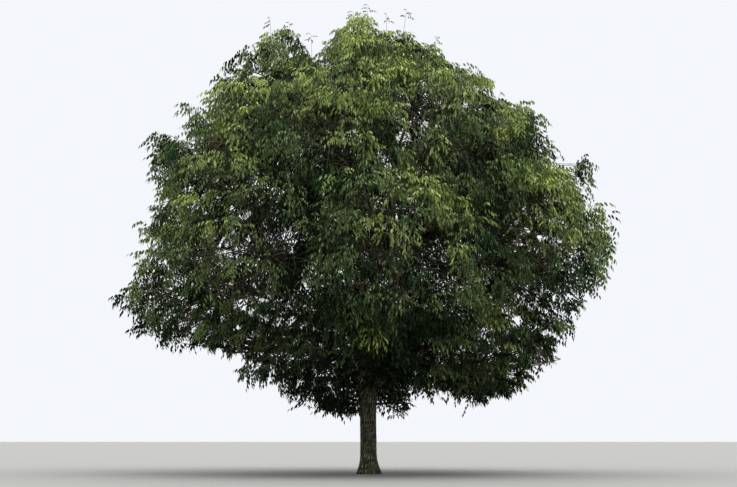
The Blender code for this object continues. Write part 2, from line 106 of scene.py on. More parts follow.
def ridge_net(angles, along, strands):
    """Crests (1) and furrows (0) of bark whose ridges split and join again, round a stem."""
    drift, sway = (
        sum(far * np.sin(rate * along + turns * angles + start) for far, rate, turns, start in waves)
        for waves in (RISING_WAVES, FALLING_WAVES))
    pace = math.pi / DIAMOND_LENGTH
    rising = np.abs(np.sin(strands * angles + pace * along + drift))
    falling = np.abs(np.sin((strands - 2) * angles - pace * along + sway))
    net = 1 - np.minimum(rising, falling) ** CREST_SHARPNESS
    worn = 1 - CREST_WEAR + CREST_WEAR * np.sin(5.3 * along + 3 * angles + drift)
    broken = np.sin(31 * along + 9 * angles + sway) * np.sin(11 * angles - 17 * along)
    return np.clip(net * worn + CREST_BREAKS * broken, 0, 1)


def bark_skin(points, radii, columns, swell=None):
    """Corners, faces and crest values of a closed bark skin round a line of points."""
    points, radii = np.array(points, float), np.array(radii, float)
    ways = np.gradient(points, axis=0)
    ways /= np.linalg.norm(ways, axis=1)[:, None]
    along = np.r_[0, np.cumsum(np.linalg.norm(np.diff(points, axis=0), axis=1))]
    angles = 2 * math.pi * np.arange(columns) / columns
    strands = max(FEWEST_RIDGES, round(math.pi * radii.max() / RIDGE_SPACING))
    side = np.array((1.0, 0, 0)) if abs(ways[0][0]) < 0.8 else np.array((0, 1.0, 0))
    corners, crests = [], []
    for i, (point, way, radius) in enumerate(zip(points, ways, radii)):
        side = side - way * (side @ way)
        side /= np.linalg.norm(side)
        across = np.cross(way, side)
        crest = ridge_net(angles, along[i], strands)
        out = radius + RIDGE_HEIGHT * min(1.0, radius / FULL_RIDGE_RADIUS) * (crest - 0.5)
        if swell:
            out = out + swell(point[2], angles)
        ring = np.outer(np.cos(angles), side) + np.outer(np.sin(angles), across)
        corners.append(point + ring * out[:, None])
        crests.append(crest)
    rows = len(points)
    low = (np.arange(rows - 1)[:, None] * columns + np.arange(columns)).ravel()
    turn = (np.arange(rows - 1)[:, None] * columns + (np.arange(columns) + 1) % columns).ravel()
    faces = [tuple(f) for f in np.stack([low, turn, turn + columns, low + columns], 1).tolist()]
    faces += [tuple(range(columns))[::-1], tuple(range((rows - 1) * columns, rows * columns))]
    return np.concatenate(corners), faces, np.concatenate(crests)


def new_piece(name, data):
    """An object of the scene, for a mesh, a lamp or a camera."""
    piece = bpy.data.objects.new(name, data)
    bpy.context.scene.collection.objects.link(piece)
    return piece


def bark_piece(name, skins, finish):
    """One object from several bark skins, with their crest values for the bark's colour."""
    corners, faces, crests, count = [], [], [], 0
    for skin_corners, skin_faces, skin_crests in skins:
        corners.append(skin_corners)
        crests.append(skin_crests)
        faces += [tuple(i + count for i in face) for face in skin_faces]
        count += len(skin_corners)
    mesh = bpy.data.meshes.new(name)
    mesh.from_pydata(np.concatenate(corners).tolist(), [], faces)
    crest = mesh.attributes.new("crest", "FLOAT", "POINT")
    crest.data.foreach_set("value", np.concatenate(crests).astype(np.float32))
    mesh.shade_smooth()
    mesh.materials.append(finish)
    return new_piece(name, mesh)


def linear(hex_colour):
    """An sRGB hex colour as linear red, green, blue and alpha."""
    shares = [int(hex_colour[i:i + 2], 16) / 255 for i in (1, 3, 5)]
    return (*[s / 12.92 if s <= 0.04045 else ((s + 0.055) / 1.055) ** 2.4 for s in shares], 1.0)


def add_node(tree, kind, inputs=None, **settings):
    """A node with its settings, and with inputs set to values or linked from (node, output)."""
    made = tree.nodes.new(kind)
    for name, value in settings.items():
        setattr(made, name, value)
    for socket, value in (inputs or {}).items():
        if isinstance(value, tuple) and isinstance(value[0], bpy.types.Node):
            tree.links.new(value[0].outputs[value[1]], made.inputs[socket])
        else:
            made.inputs[socket].default_value = value
    return made


def new_finish(name):
    """A material, and its node tree, still empty."""
    made = bpy.data.materials.new(name)
    made.use_nodes = True
    made.node_tree.nodes.clear()
    return made, made.node_tree


# Patterns for each metre: streaks 42 mm apart, drawn out along the stem, patches of bloom
# 170 mm across, and corky grain of 11 mm.
STREAKS, STREAK_STRETCH, BLOOM_PATCHES, GRAIN = 24.0, 0.22, 6.0, 90.0
GRAIN_DEPTH = 0.004


def furrowed_ash_bark():
    """Dry corky bark: pale worn crests, near-black furrows, partly the bark's own darker colour and partly
    painted shade, and a green bloom of algae that the eye reads as olive. It is dull all over, so the
    gloss is almost none."""
    made, tree = new_finish("furrowed_ash_bark")
    place = add_node(tree, "ShaderNodeTexCoord")
    along = add_node(tree, "ShaderNodeMapping", {
        "Vector": (place, "Object"), "Scale": (1, 1, STREAK_STRETCH)})
    streaks = add_node(tree, "ShaderNodeTexNoise", {
        "Vector": (along, 0), "Scale": STREAKS, "Detail": 5.0})
    bloom = add_node(tree, "ShaderNodeTexNoise", {
        "Vector": (place, "Object"), "Scale": BLOOM_PATCHES, "Detail": 4.0})
    crest = add_node(tree, "ShaderNodeAttribute", attribute_name="crest")
    worn = add_node(tree, "ShaderNodeMix", {
        0: (streaks, "Fac"), 6: linear("#77765F"), 7: linear("#C6C4A9")}, data_type="RGBA")
    green = add_node(tree, "ShaderNodeMapRange", {
        "Value": (bloom, "Fac"), "From Min": 0.4, "From Max": 0.62, "To Max": 0.85})
    mossy = add_node(tree, "ShaderNodeMix", {
        0: (green, 0), 6: (worn, 2), 7: linear("#5E6848")}, data_type="RGBA")
    # The furrows are painted near-black: partly the bark's own colour, partly painted shade.
    shade = add_node(tree, "ShaderNodeMapRange", {
        "Value": (crest, "Fac"), "From Min": 0.15, "From Max": 0.85})
    colour = add_node(tree, "ShaderNodeMix", {
        0: (shade, 0), 6: linear("#302F26"), 7: (mossy, 2)}, data_type="RGBA")
    grain = add_node(tree, "ShaderNodeTexNoise", {
        "Vector": (along, 0), "Scale": GRAIN, "Detail": 6.0})
    bump = add_node(tree, "ShaderNodeBump", {
        "Height": (grain, "Fac"), "Strength": 0.6, "Distance": GRAIN_DEPTH})
    skin = add_node(tree, "ShaderNodeBsdfPrincipled", {
        "Base Color": (colour, 2), "Normal": (bump, 0), "Roughness": 0.92, "Specular IOR Level": 0.25})
    add_node(tree, "ShaderNodeOutputMaterial", {"Surface": (skin, 0)})
    return made


bark = furrowed_ash_bark()
close_rows = int(BARK_CLOSE_Z / BARK_ROW)
trunk_heights = np.r_[np.linspace(0, BARK_CLOSE_Z, close_rows),
                      np.linspace(BARK_CLOSE_Z, TRUNK_TIP_Z, BARK_HIGH_ROWS)[1:]]
trunk_points = [trunk_axis(z) for z in trunk_heights]
trunk_points[0] = Vector((*trunk_points[1].xy, 0))
trunk_radii = [trunk_radius(z) for z in trunk_heights]
trunk_skin = bark_skin(trunk_points, trunk_radii, BARK_COLUMNS, trunk_swell)
trunk = bark_piece("trunk_bark", [trunk_skin], bark)
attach(trunk, "root")
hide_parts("trunk")


# The boughs leave the trunk in a whorl at 2 to 3 m: seven low ones that carry the hanging skirt,
# and four leaders that rise through the crown with side limbs on them. Each swells where it
# joins, as living wood does, and has the trunk's bark in finer ridges. Each ends in one mass.
CROWN_TOP_Z, CROWN_WIDEST_Z, CROWN_FOOT_Z = 12.05, 5.0, 1.35
CROWN_RADIUS, CROWN_LEAN, CROWN_TAPER = 6.6, -0.085, 0.61
CROWN_FOOT_SHIFT, CROWN_FOOT_SHIFT_Z = 0.5, 3.2

# Name, count, first azimuth in degrees, distance from the crown's axis, height, rise towards
# +X, rise of every second mass, reach across, reach up and down.
RINGS = (
    ("skirt", 7, 14.0, 3.6, 3.0, -0.25, 0.0, 2.6, 1.7),
    ("lower", 8, 9.0, 4.6, 5.1, 0.4, 0.5, 2.8, 2.5),
    ("upper", 8, -12.0, 4.1, 7.8, 0.0, 0.5, 2.75, 2.4),
    ("crest", 4, 25.0, 2.0, 10.15, 0.0, 0.0, 2.4, 2.0),
    ("top", 1, 0.0, 0.3, 10.85, 0.0, 0.0, 1.5, 1.5),
    ("inner", 2, 172.0, 1.1, 1.8, 0.0, 0.0, 1.35, 0.75),
)
RING_JITTER = {"azimuth": 4.0, "distance": 0.16, "height": 0.15}
ENTRY_SHARE = 0.8
ENTRY_SLOPE = {"skirt": 0.05, "lower": -0.45, "upper": -0.55, "crest": -2.6, "inner": 0.1}
LIMB_TIP_SHARE, LIMB_TAPER_EASE, LIMB_PULL = 0.42, 0.85, 0.36
SKIRT_RADIUS, SKIRT_FROM_Z, SKIRT_SPREAD_Z, SKIRT_RISE = 0.07, 2.1, 0.42, 36
LEADER_RADIUS, LEADER_FROM_Z, LEADER_STEP_Z, LEADER_RISE = 0.105, 2.72, 0.2, 60
SIDE_RADIUS, SIDE_FOLLOW = 0.056, 0.35
SIDE_SHARES = {"lower": (0.14, 0.1), "upper": (0.36, 0.12)}
INNER_RADIUS, INNER_DROP, INNER_RISE = 0.03, 0.05, 8
COLLAR_SPARE = 0.02

# A limb's base runs down its parent before it parts from it, by so many radii on the trunk and
# by this share of them on a leader. It starts thinner and swells, then eases over some radii.
BASE_RUN, LEADER_RUN_SHARE = 8, 0.25
BASE_START, BASE_SWELL, BASE_EASE = 0.8, 0.6, 2.5
LIMB_ROW, FEWEST_LIMB_ROWS, FEWEST_BASE_ROWS, LENGTH_STEPS = 0.035, 12, 4, 20


def bearing(azimuth, elevation):
    """A unit vector at an azimuth from +X and an elevation above level, in degrees."""
    a, e = math.radians(azimuth), math.radians(elevation)
    return Vector((math.cos(a) * math.cos(e), math.sin(a) * math.cos(e), math.sin(e)))


def wobble(*numbers):
    """A repeatable value from -1 to 1 for a set of numbers."""
    mixed = sum(n * k for n, k in zip(numbers, (12.9898, 78.233, 37.719, 4.581)))
    return 2 * ((math.sin(mixed) * 43758.5453) % 1.0) - 1


def crown_axis(z):
    return Vector((CROWN_LEAN * max(0.0, z - CROWN_WIDEST_Z), 0, z))


class Limb:
    """One tapering limb on a smooth curve, from its base on a parent to its tip at a mass."""

    def __init__(self, nodes, base, base_way, tip, tip_way, radius, root=None):
        self.node, self.radius, self.tip, self.tip_way, self.root = nodes, radius, tip, tip_way, root
        pull = LIMB_PULL * (tip - base).length
        self.handles = (base, base + base_way * pull, tip - tip_way * pull, tip)

    def point(self, share):
        a, b, c, d = self.handles
        t, u = share, 1 - share
        return a * u**3 + b * (3 * u * u * t) + c * (3 * u * t * t) + d * t**3

    def way(self, share):
        a, b, c, d = self.handles
        t, u = share, 1 - share
        return ((b - a) * (u * u) + (c - b) * (2 * u * t) + (d - c) * (t * t)).normalized()

    def girth(self, share):
        return self.radius * (1 + (LIMB_TIP_SHARE - 1) * share**LIMB_TAPER_EASE)


class TrunkLine:
    """The trunk as a parent of limbs. Its share is its height."""

    def point(self, z):
        return trunk_axis(z)

    def way(self, z):
        return (trunk_axis(z + 0.01) - trunk_axis(z - 0.01)).normalized()

    def girth(self, z):
        return trunk_radius(z)


def ring_masses():
    """Every mass: its name, azimuth, middle, reach each way, and its rank among the masses."""
    masses = []
    for row, (ring, count, first, distance, height, tilt, step, across, updown) in enumerate(RINGS):
        for i in range(count):
            azimuth = first + 360 * i / count + RING_JITTER["azimuth"] * wobble(row, i, 1)
            z = height + RING_JITTER["height"] * wobble(row, i, 2) * (updown > 1)
            z += tilt * math.cos(math.radians(azimuth)) + step * (i % 2)
            out = distance + RING_JITTER["distance"] * wobble(row, i, 3) * (updown > 1)
            masses.append({
                "name": f"foliage_{ring}_{i + 1}" if count > 1 else f"foliage_{ring}",
                "ring": ring, "azimuth": azimuth, "middle": crown_axis(z) + bearing(azimuth, 0) * out,
                "reach": Vector((across, across, updown)), "rank": len(masses),
            })
    return masses


def entry_of(mass):
    """The point where the limb meets the mass, and the way that the mass's stem goes on."""
    way = (-bearing(mass["azimuth"], 0) + UP * ENTRY_SLOPE[mass["ring"]]).normalized()
    scaled = Vector(w / r for w, r in zip(way, mass["reach"]))
    return mass["middle"] + way * (ENTRY_SHARE / scaled.length), -way


def joint_on(parent, share, way, radius):
    """Where a limb clears its parent, having left it at a share of the parent's length."""
    lean = math.acos(max(-1.0, min(1.0, way.dot(parent.way(share)))))
    out = parent.girth(share) + radius * math.cos(lean) + COLLAR_SPARE
    return parent.point(share) + way * (out / math.sin(lean))


def start_mass(mass, base, way, radius):
    mass["stem_base"], mass["stem_way"], mass["stem_radius"] = base, way, radius


def limb_to(mass, node, parent, share, way, radius):
    """A limb from its parent to the mass, which then starts from the limb's tip."""
    place, way_in = entry_of(mass)
    base = joint_on(parent, share, way, radius)
    drop = BASE_RUN * radius * (1 if isinstance(parent, TrunkLine) else LEADER_RUN_SHARE)
    root = parent.point(share) - parent.way(share) * drop
    limb = Limb(node, base, way, place, way_in, radius, root)
    start_mass(mass, limb.tip, limb.tip_way, radius * LIMB_TIP_SHARE)
    return limb


def grow_limbs(masses):
    """The boughs, the leaders and their side limbs, each to the mass that it carries."""
    line = TrunkLine()
    by_ring = {ring[0]: [m for m in masses if m["ring"] == ring[0]] for ring in RINGS}
    skirts = len(by_ring["skirt"])
    boughs, leaders, sides = [], [], []
    for i, mass in enumerate(by_ring["skirt"]):
        height = SKIRT_FROM_Z + SKIRT_SPREAD_Z * ((3 * i) % skirts) / (skirts - 1)
        way = bearing(mass["azimuth"], SKIRT_RISE)
        boughs.append(limb_to(mass, f"bough_skirt_{i + 1}", line, height, way, SKIRT_RADIUS))
    for i, mass in enumerate(by_ring["crest"]):
        height = LEADER_FROM_Z + LEADER_STEP_Z * ((2 * i) % 3 + (i > 1) / 2)
        way = bearing(mass["azimuth"], LEADER_RISE)
        leaders.append(limb_to(mass, f"leader_{i + 1}", line, height, way, LEADER_RADIUS))
    for ring, (first_share, step) in SIDE_SHARES.items():
        for i, mass in enumerate(by_ring[ring]):
            leader = leaders[i // 2]
            share = first_share + step * (i % 2)
            aim = (entry_of(mass)[0] - leader.point(share)).normalized()
            way = (aim + leader.way(share) * SIDE_FOLLOW).normalized()
            sides.append(limb_to(mass, f"limb_{ring}_{i + 1}", leader, share, way, SIDE_RADIUS))
    for mass in by_ring["inner"]:
        way = bearing(mass["azimuth"], INNER_RISE)
        base = joint_on(line, mass["middle"].z - INNER_DROP, way, INNER_RADIUS)
        start_mass(mass, base, way, INNER_RADIUS)
    start_mass(by_ring["top"][0], trunk_axis(TRUNK_TIP_Z), UP, trunk_radius(TRUNK_TIP_Z))
    return boughs, leaders, sides


def limb_skin(limb, columns):
    """Bark from inside the parent, over the swollen base, to the limb's tip."""
    marks = [limb.point(i / LENGTH_STEPS) for i in range(LENGTH_STEPS + 1)]
    length = sum((after - mark).length for mark, after in zip(marks, marks[1:]))
    count = max(FEWEST_LIMB_ROWS, int(length / LIMB_ROW))
    shares = np.linspace(0, 1, count)
    points = [limb.point(s) for s in shares]
    ease = BASE_EASE * limb.radius
    radii = [limb.girth(s) * (1 + BASE_SWELL * math.exp(-s * length / ease)) for s in shares]
    base, way = points[0], limb.way(0)
    run_in = (base - limb.root).length
    steps = max(FEWEST_BASE_ROWS, int(run_in / LIMB_ROW))
    lead = Limb(None, limb.root, ((base - limb.root).normalized() + UP).normalized(), base, way, 1)
    points = [lead.point(i / steps) for i in range(steps)] + points
    gain = 1 + BASE_SWELL - BASE_START
    radii = [limb.radius * (BASE_START + gain * i / steps) for i in range(steps)] + radii
    return bark_skin(points, radii, columns)


masses = ring_masses()
boughs, leaders, side_limbs = grow_limbs(masses)
for piece_name, limbs, columns in (("bough_bark", boughs, 24), ("leader_bark", leaders, 36),
                                   ("side_limb_bark", side_limbs, 18)):
    limb_piece = bark_piece(piece_name, [limb_skin(limb, columns) for limb in limbs], bark)
    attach(limb_piece, "root")
    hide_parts(*[limb.node for limb in limbs])


# Twigs carry the leaves. From each limb's tip a stem runs into its mass and parts into main
# twigs, which spread evenly by the golden angle and keep to the mass's own space. Each ends in a
# tuft of fine twigs. They are smooth olive-grey rods with flattened tips, hidden but for the gaps.
SPACE_GAP, SPACE_ROUNDNESS, LIMB_CLEARANCE = 0.02, 3.4, 0.03
WAYS_PER_MASS, WAYS_PER_INNER_MASS, SPARE_WAYS, WAYS_TURN = 16, 6, 1.45, 1.7
CROWN_HEART_Z = CROWN_WIDEST_Z - 1
TUFT_OUT, TUFT_OUT_SPREAD = 0.64, 0.1
TUFT_REACH_SHARE, TUFT_REACH_SPREAD, TUFT_REACH_MOST = 0.27, 0.06, 0.72
TUFT_FLATNESS, TUFT_TURN = 0.85, 2.3

# A tuft is made of plumes, the small fountains of three arching shoots that the eye sees. They
# face back no more than this, sit this far out in the tuft, and point out, with it, and up.
PLUMES_PER_TUFT, PLUME_BACK_LIMIT, PLUME_DEPTH = 12, -0.35, (0.45, 1.0)
PLUME_OUT, PLUME_WAY, PLUME_RISE = 0.7, 0.3, 0.35
SHOOTS_PER_PLUME, SHOOT_LENGTH, SHOOT_SCALE = 3, 0.33, (0.75, 1.2)
SHOOT_SPREAD, SHOOT_DROOP = 0.85, 0.5

# The shaded tufts that fill a mass: how many, how far out, how wide, their plumes, their turn.
SHADE_TUFTS, SHADE_OUT, SHADE_REACH, SHADE_PLUMES, SHADE_TURN = 54, (0.08, 1.0), 0.22, 1, 0.9

# Shoot tips settle in layers that slope down outwards, with slits of sky between: their step,
# their slope, how far a tip is drawn to its layer, and how they shift from mass to mass.
LAYER_STEP, LAYER_FALL, LAYER_PULL, LAYER_STAGGER = 0.3, 0.33, 0.88, 0.37

# The rim is feathered: each plume keeps to a crown of its own, smaller or larger by this much,
# and the outermost band of its leaves is thinner.
RIM_SHARES, RIM_BAND, RIM_LOOSENESS, CROWN_MIDDLE_Z = (0.945, 1.045), 0.94, 0.2, 5.5
EDGE_ROUGHNESS, GAP_ROUGHNESS = 0.09, 0.3
GOLDEN_ANGLE = math.pi * (3 - math.sqrt(5))

# First and last radius of each kind of twig, the points along it, and the points of its parent
# at which twigs fork off. A stem thins to a share of its girth, each twig's bend has handles of
# a share of its length, and a main twig turns up at its end.
MAIN_TWIG_RADII, PLUME_TWIG_RADII, SHOOT_RADII = (0.022, 0.009), (0.009, 0.006), (0.006, 0.003)
STEM_POINTS, MAIN_POINTS, PLUME_POINTS, STEM_TIP_SHARE = 10, 8, 4, 0.5
STEM_FORK_FROM, STEM_FORKS, MAIN_FORKS, BEND_PULL, MAIN_RISE = 4, 6, (3, 8), 0.38, 0.3

# Freckles of the young bark for each metre.
FRECKLES = 60.0

# Thin shoots that stand above the crown's top: what share of the way out its foot lies, how low its
# leaves count in the painted light, so that they get a dark painted shade green, and how far each tip
# is from its mass's middle.
LONE_FOOT_SHARE, LONE_TOP = 0.6, -3.0
LONE_SHOOTS = {
    "foliage_top": ((0.3, -0.1, 1.35), (-0.1, 0.2, 1.25)),
    "foliage_crest_1": ((0.5, 0.1, 1.5), (-0.3, 0.3, 1.65)),
    "foliage_crest_2": ((-0.2, 0.2, 1.7),),
    "foliage_crest_3": ((-0.3, 0.0, 1.6), (0.2, 0.3, 1.55)),
    "foliage_crest_4": ((0.6, -0.1, 1.65), (0.1, 0.2, 1.6)),
}

# The crown's outline as the viewer sees it, across and up at the trunk's distance, with the
# notches of sky that bite into it, clockwise from the trunk's left side.
VIEW_DISTANCE, VIEW_HEIGHT = 45.0, 1.0
FRONT_OUTLINE = (
    (-0.45, 0.9), (-1.0, 1.35), (-1.5, 1.45), (-1.55, 1.8), (-2.05, 1.9), (-2.5, 2.05),
    (-2.85, 1.9), (-3.4, 2.05), (-3.8, 2.4), (-3.2, 2.9), (-3.85, 3.15), (-4.45, 3.2), (-5.5, 3.2),
    (-5.55, 3.4), (-5.9, 3.3), (-6.25, 3.6), (-6.05, 4.0), (-6.05, 4.25), (-6.55, 4.3),
    (-6.55, 4.65), (-6.3, 4.95), (-6.15, 5.0), (-6.15, 5.3), (-5.95, 5.6), (-6.05, 5.95),
    (-6.05, 6.35), (-5.7, 6.6), (-5.9, 6.95), (-5.5, 7.15), (-5.7, 7.4), (-5.65, 7.95), (-5.9, 8.5),
    (-5.85, 8.95), (-5.3, 9.05), (-4.85, 8.6), (-4.7, 8.7), (-4.95, 9.35), (-4.9, 9.75),
    (-4.45, 9.45), (-4.25, 9.55), (-4.4, 9.6), (-4.1, 10.3), (-3.5, 10.85), (-3.0, 11.05),
    (-2.8, 11.45), (-2.1, 11.65), (-1.7, 11.5), (-1.45, 10.75), (-1.25, 10.8), (-1.05, 11.25),
    (-0.8, 11.6), (-0.35, 11.9), (0.15, 11.95), (0.4, 11.3), (0.7, 11.6), (0.95, 11.55),
    (1.1, 11.15), (2.05, 11.0), (2.25, 10.55), (2.6, 10.7), (2.9, 11.05), (3.25, 10.7), (3.6, 10.6),
    (3.55, 9.9), (3.45, 9.55), (4.15, 9.95), (4.4, 9.35), (4.7, 9.0), (4.65, 8.7), (4.9, 8.5),
    (4.95, 7.8), (5.2, 8.35), (5.75, 8.3), (5.85, 7.0), (6.35, 6.9), (6.55, 6.3), (6.35, 5.9),
    (6.55, 5.3), (6.25, 4.95), (6.25, 4.6), (5.5, 4.0), (5.65, 3.6), (4.95, 3.2), (4.75, 2.65),
    (4.1, 2.5), (3.8, 2.0), (3.3, 2.0), (3.3, 1.7), (2.95, 1.9), (2.6, 1.6), (2.1, 1.85),
    (1.85, 1.6), (1.4, 2.0), (1.1, 1.8), (1.05, 1.4), (0.7, 1.35), (0.45, 1.5), (0.35, 1.15),
    (0.25, 1.15),
)

# Loose places in the crown and places of painted shade and light, as the viewer sees them: middle
# across, middle up, half width, half height, the share of leaves that is missing, and how much painted
# shade its sprays get, which is painted light where below zero.
LOOSE_AND_PAINTED_SHADE_PLACES = (
    (-4.0, 5.2, 1.1, 1.6, 0.4, 0.35), (-3.9, 6.7, 0.8, 0.6, 0.38, 0.1),
    (-5.2, 6.6, 0.6, 0.6, 0.3, -0.3), (-3.6, 7.5, 1.1, 0.4, 0.46, 0.4),
    (-3.8, 10.2, 0.8, 0.7, 0.34, 0.4), (-3.3, 3.45, 2.1, 0.6, 0.6, 0.0),
    (-1.9, 2.6, 1.0, 0.5, 0.45, 0.0), (-1.0, 6.3, 0.6, 0.4, 0.1, 0.4), (1.2, 2.5, 0.5, 0.3, 0.3, -0.4),
    (3.7, 3.1, 1.4, 0.6, 0.44, 0.7), (4.8, 4.2, 1.1, 0.7, 0.46, 0.4), (5.2, 7.0, 0.8, 0.6, 0.25, 0.0),
    (4.2, 6.4, 0.8, 0.5, 0.55, 0.1), (1.3, 9.7, 0.7, 0.6, 0.42, 0.8),
    (-0.6, 10.5, 0.45, 0.5, 0.45, 0.9), (2.9, 10.2, 0.5, 0.6, 0.4, 0.7),
    (-3.2, 4.0, 1.2, 0.6, 0.55, -0.2), (-0.3, 2.6, 1.3, 0.7, 0.0, 1.2), (0.7, 5.0, 1.0, 0.5, 0.0, 0.9),
    (1.5, 3.4, 0.9, 0.5, 0.0, 0.9), (0.0, 4.4, 0.6, 0.5, 0.0, -0.8), (-1.7, 4.3, 0.8, 0.6, 0.0, 1.1),
    (-1.9, 7.2, 0.9, 0.7, 0.0, 1.0), (3.1, 6.9, 0.6, 0.9, 0.0, 0.7), (0.3, 7.3, 0.8, 0.5, 0.0, 0.9),
    (2.2, 7.4, 0.6, 0.5, 0.0, -0.8), (-2.2, 9.6, 0.6, 0.5, 0.0, 0.8), (-2.3, 10.6, 0.6, 0.4, 0.0, 0.5),
    (1.4, 8.3, 0.8, 0.5, 0.0, -1.0), (-0.7, 9.7, 0.6, 0.6, 0.0, -0.3), (-4.6, 6.9, 0.8, 0.5, 0.0, -0.4),
    (5.4, 5.9, 1.0, 1.0, 0.0, -0.3), (-0.3, 11.6, 0.3, 0.3, 0.0, -1.3),
    (0.8, 10.8, 0.3, 0.3, 0.0, -1.0), (1.65, 10.8, 0.3, 0.25, 0.0, -1.0),
    (-4.3, 8.4, 0.7, 0.5, 0.0, 0.5), (4.2, 8.5, 0.5, 0.6, 0.0, 0.5), (3.2, 4.9, 0.6, 0.8, 0.0, -0.8),
    (2.6, 2.3, 1.2, 0.4, 0.0, -0.5),
)

# Each place fades out over this share of its size, both its missing leaves and its painted shade
# or light. In it the missing leaves gather in clumps, so that the rest stays as dense.
PLACE_FADE, LOOSE_CLUMPS = 0.5, 2.0

# Where the sky shows through the whole crown: middle across, middle up, half width and height.
SKY_GAPS = (
    (0.94, 8.77, 0.24, 0.12), (1.5, 9.95, 0.12, 0.1), (3.1, 3.75, 0.12, 0.1), (3.8, 3.9, 0.1, 0.12),
    (-3.0, 3.6, 0.16, 0.07), (-3.3, 4.4, 0.12, 0.08), (-2.4, 8.1, 0.1, 0.06), (-4.9, 5.0, 0.1, 0.08),
)

# The crown is a little wider than its egg on either side: a distance across counts as this share.
LEFT_TRIM, RIGHT_TRIM = 0.98, 0.95

# How finely the limbs are sampled, how near one has to be to count, and how a direction is
# searched for the far side of a space.
TRUNK_SAMPLES, LIMB_STEPS, NEAR_LIMB = 140, 70, 0.4
SEARCH_STEPS, SEARCH_STEP, SEARCH_OVERLAP = 80, 0.04, 0.15


def crown_outline(z):
    """The middle and radius of the crown's egg at each height. Its foot lies to +X."""
    lean = CROWN_LEAN * np.maximum(0, z - CROWN_WIDEST_Z)
    foot = CROWN_FOOT_SHIFT * np.clip(2 * (CROWN_FOOT_SHIFT_Z - z), 0, 1)
    half = np.where(z > CROWN_WIDEST_Z, CROWN_TOP_Z - CROWN_WIDEST_Z, CROWN_WIDEST_Z - CROWN_FOOT_Z)
    share = np.abs(z - CROWN_WIDEST_Z) / half
    return lean + foot, CROWN_RADIUS * np.maximum(0, 1 - share**2) ** CROWN_TAPER


class Spaces:
    """The space of each mass: its reach round its middle, inside the crown's egg, on its own
    side of the planes between it and its neighbours, and clear of every limb."""

    def __init__(self, masses, limbs):
        self.middles = np.array([tuple(m["middle"]) for m in masses])
        self.reaches = np.array([tuple(m["reach"]) for m in masses])
        self.weights = self.reaches[:, 0] * self.reaches[:, 2]
        heights = np.linspace(0, TRUNK_TIP_Z, TRUNK_SAMPLES)
        lines = [(trunk_axis(z), trunk_radius(z) + float(crotch(z, 0.0))) for z in heights]
        for limb in limbs:
            shares = [i / LIMB_STEPS for i in range(LIMB_STEPS + 1)]
            lines += [(limb.point(s), limb.girth(s)) for s in shares]
        self.limb_points = np.array([tuple(p) for p, _ in lines])
        self.limb_radii = np.array([r for _, r in lines])

    def hold(self, rank, points, overlap=0.0, rim=1.0):
        """True for each point that lies in the mass's space, limbs left aside, or no further
        than the overlap past the planes between it and its neighbours."""
        p = np.atleast_2d(points)
        own = ((p[:, None] - self.middles[None]) ** 2).sum(-1) - self.weights[None]
        others = np.delete(own, rank, axis=1)
        spans = np.linalg.norm(np.delete(self.middles, rank, 0) - self.middles[rank], axis=1)
        apart = (others - own[:, [rank]] > 2 * spans[None] * (SPACE_GAP - overlap)).all(1)
        off = np.abs(p - self.middles[rank]) / self.reaches[rank]
        axis, egg = crown_outline(p[:, 2])
        across = (p[:, 0] - axis) * np.where(p[:, 0] < axis, LEFT_TRIM, RIGHT_TRIM)
        inside = np.hypot(across, p[:, 1]) < egg * rim
        return apart & ((off**SPACE_ROUNDNESS).sum(1) < 1) & inside

    def clear(self, rank, points):
        """True for each point that is clear of every limb near the mass."""
        p = np.atleast_2d(points)
        near = (np.abs(self.limb_points - self.middles[rank]) < self.reaches[rank] + NEAR_LIMB).all(1)
        if not near.any():
            return np.ones(len(p), bool)
        gaps = np.linalg.norm(p[:, None] - self.limb_points[near][None], axis=2) - self.limb_radii[near]
        return (gaps > LIMB_CLEARANCE).all(1)

    def far_side(self, rank, way):
        """How far the space runs from its middle along a direction."""
        steps = np.arange(1, SEARCH_STEPS + 1) * SEARCH_STEP
        held = self.hold(rank, self.middles[rank] + np.outer(steps, way), SEARCH_OVERLAP)
        return float(steps[held.argmin() - 1]) if not held.all() else float(steps[-1])


def spread_ways(count, turn):
    """Directions spread evenly over a ball by the golden angle."""
    z = 1 - 2 * (np.arange(count) + 0.5) / count
    a = turn + np.arange(count) * GOLDEN_ANGLE
    r = np.sqrt(1 - z * z)
    return np.stack([r * np.cos(a), r * np.sin(a), z], 1)


def outward_ways(mass, count):
    """Evenly spread directions, fewer of them towards the bare middle of the crown."""
    outward = np.array(mass["middle"] - Vector((0, 0, CROWN_HEART_Z)))
    ways = spread_ways(int(count * SPARE_WAYS), WAYS_TURN * mass["rank"])
    return ways[np.argsort(-(ways @ outward), kind="stable")[:count]]


def normal(v):
    return v / np.maximum(np.linalg.norm(v, axis=-1, keepdims=True), 1e-9)


def bend(start, start_way, end, end_way, shares):
    """Points on a smooth curve between two places, leaving and arriving in given directions."""
    pull = BEND_PULL * np.linalg.norm(end - start)
    t = np.reshape(shares, (-1, 1))
    u = 1 - t
    near, far = start + start_way * pull, end - end_way * pull
    return start * u**3 + near * 3 * u * u * t + far * 3 * u * t * t + end * t**3


def as_seen(points):
    """Where the viewer sees points, across and up at the trunk's distance, and a rough value."""
    near = VIEW_DISTANCE / (VIEW_DISTANCE + points[:, 1])
    across, up = points[:, 0] * near, VIEW_HEIGHT + (points[:, 2] - VIEW_HEIGHT) * near
    bent = 9 * across + 4 * up + 2 * np.sin(2.3 * up)
    return across, up, np.sin(bent) * np.sin(11 * up - 5 * across + 2 * np.sin(1.7 * across) + 1)


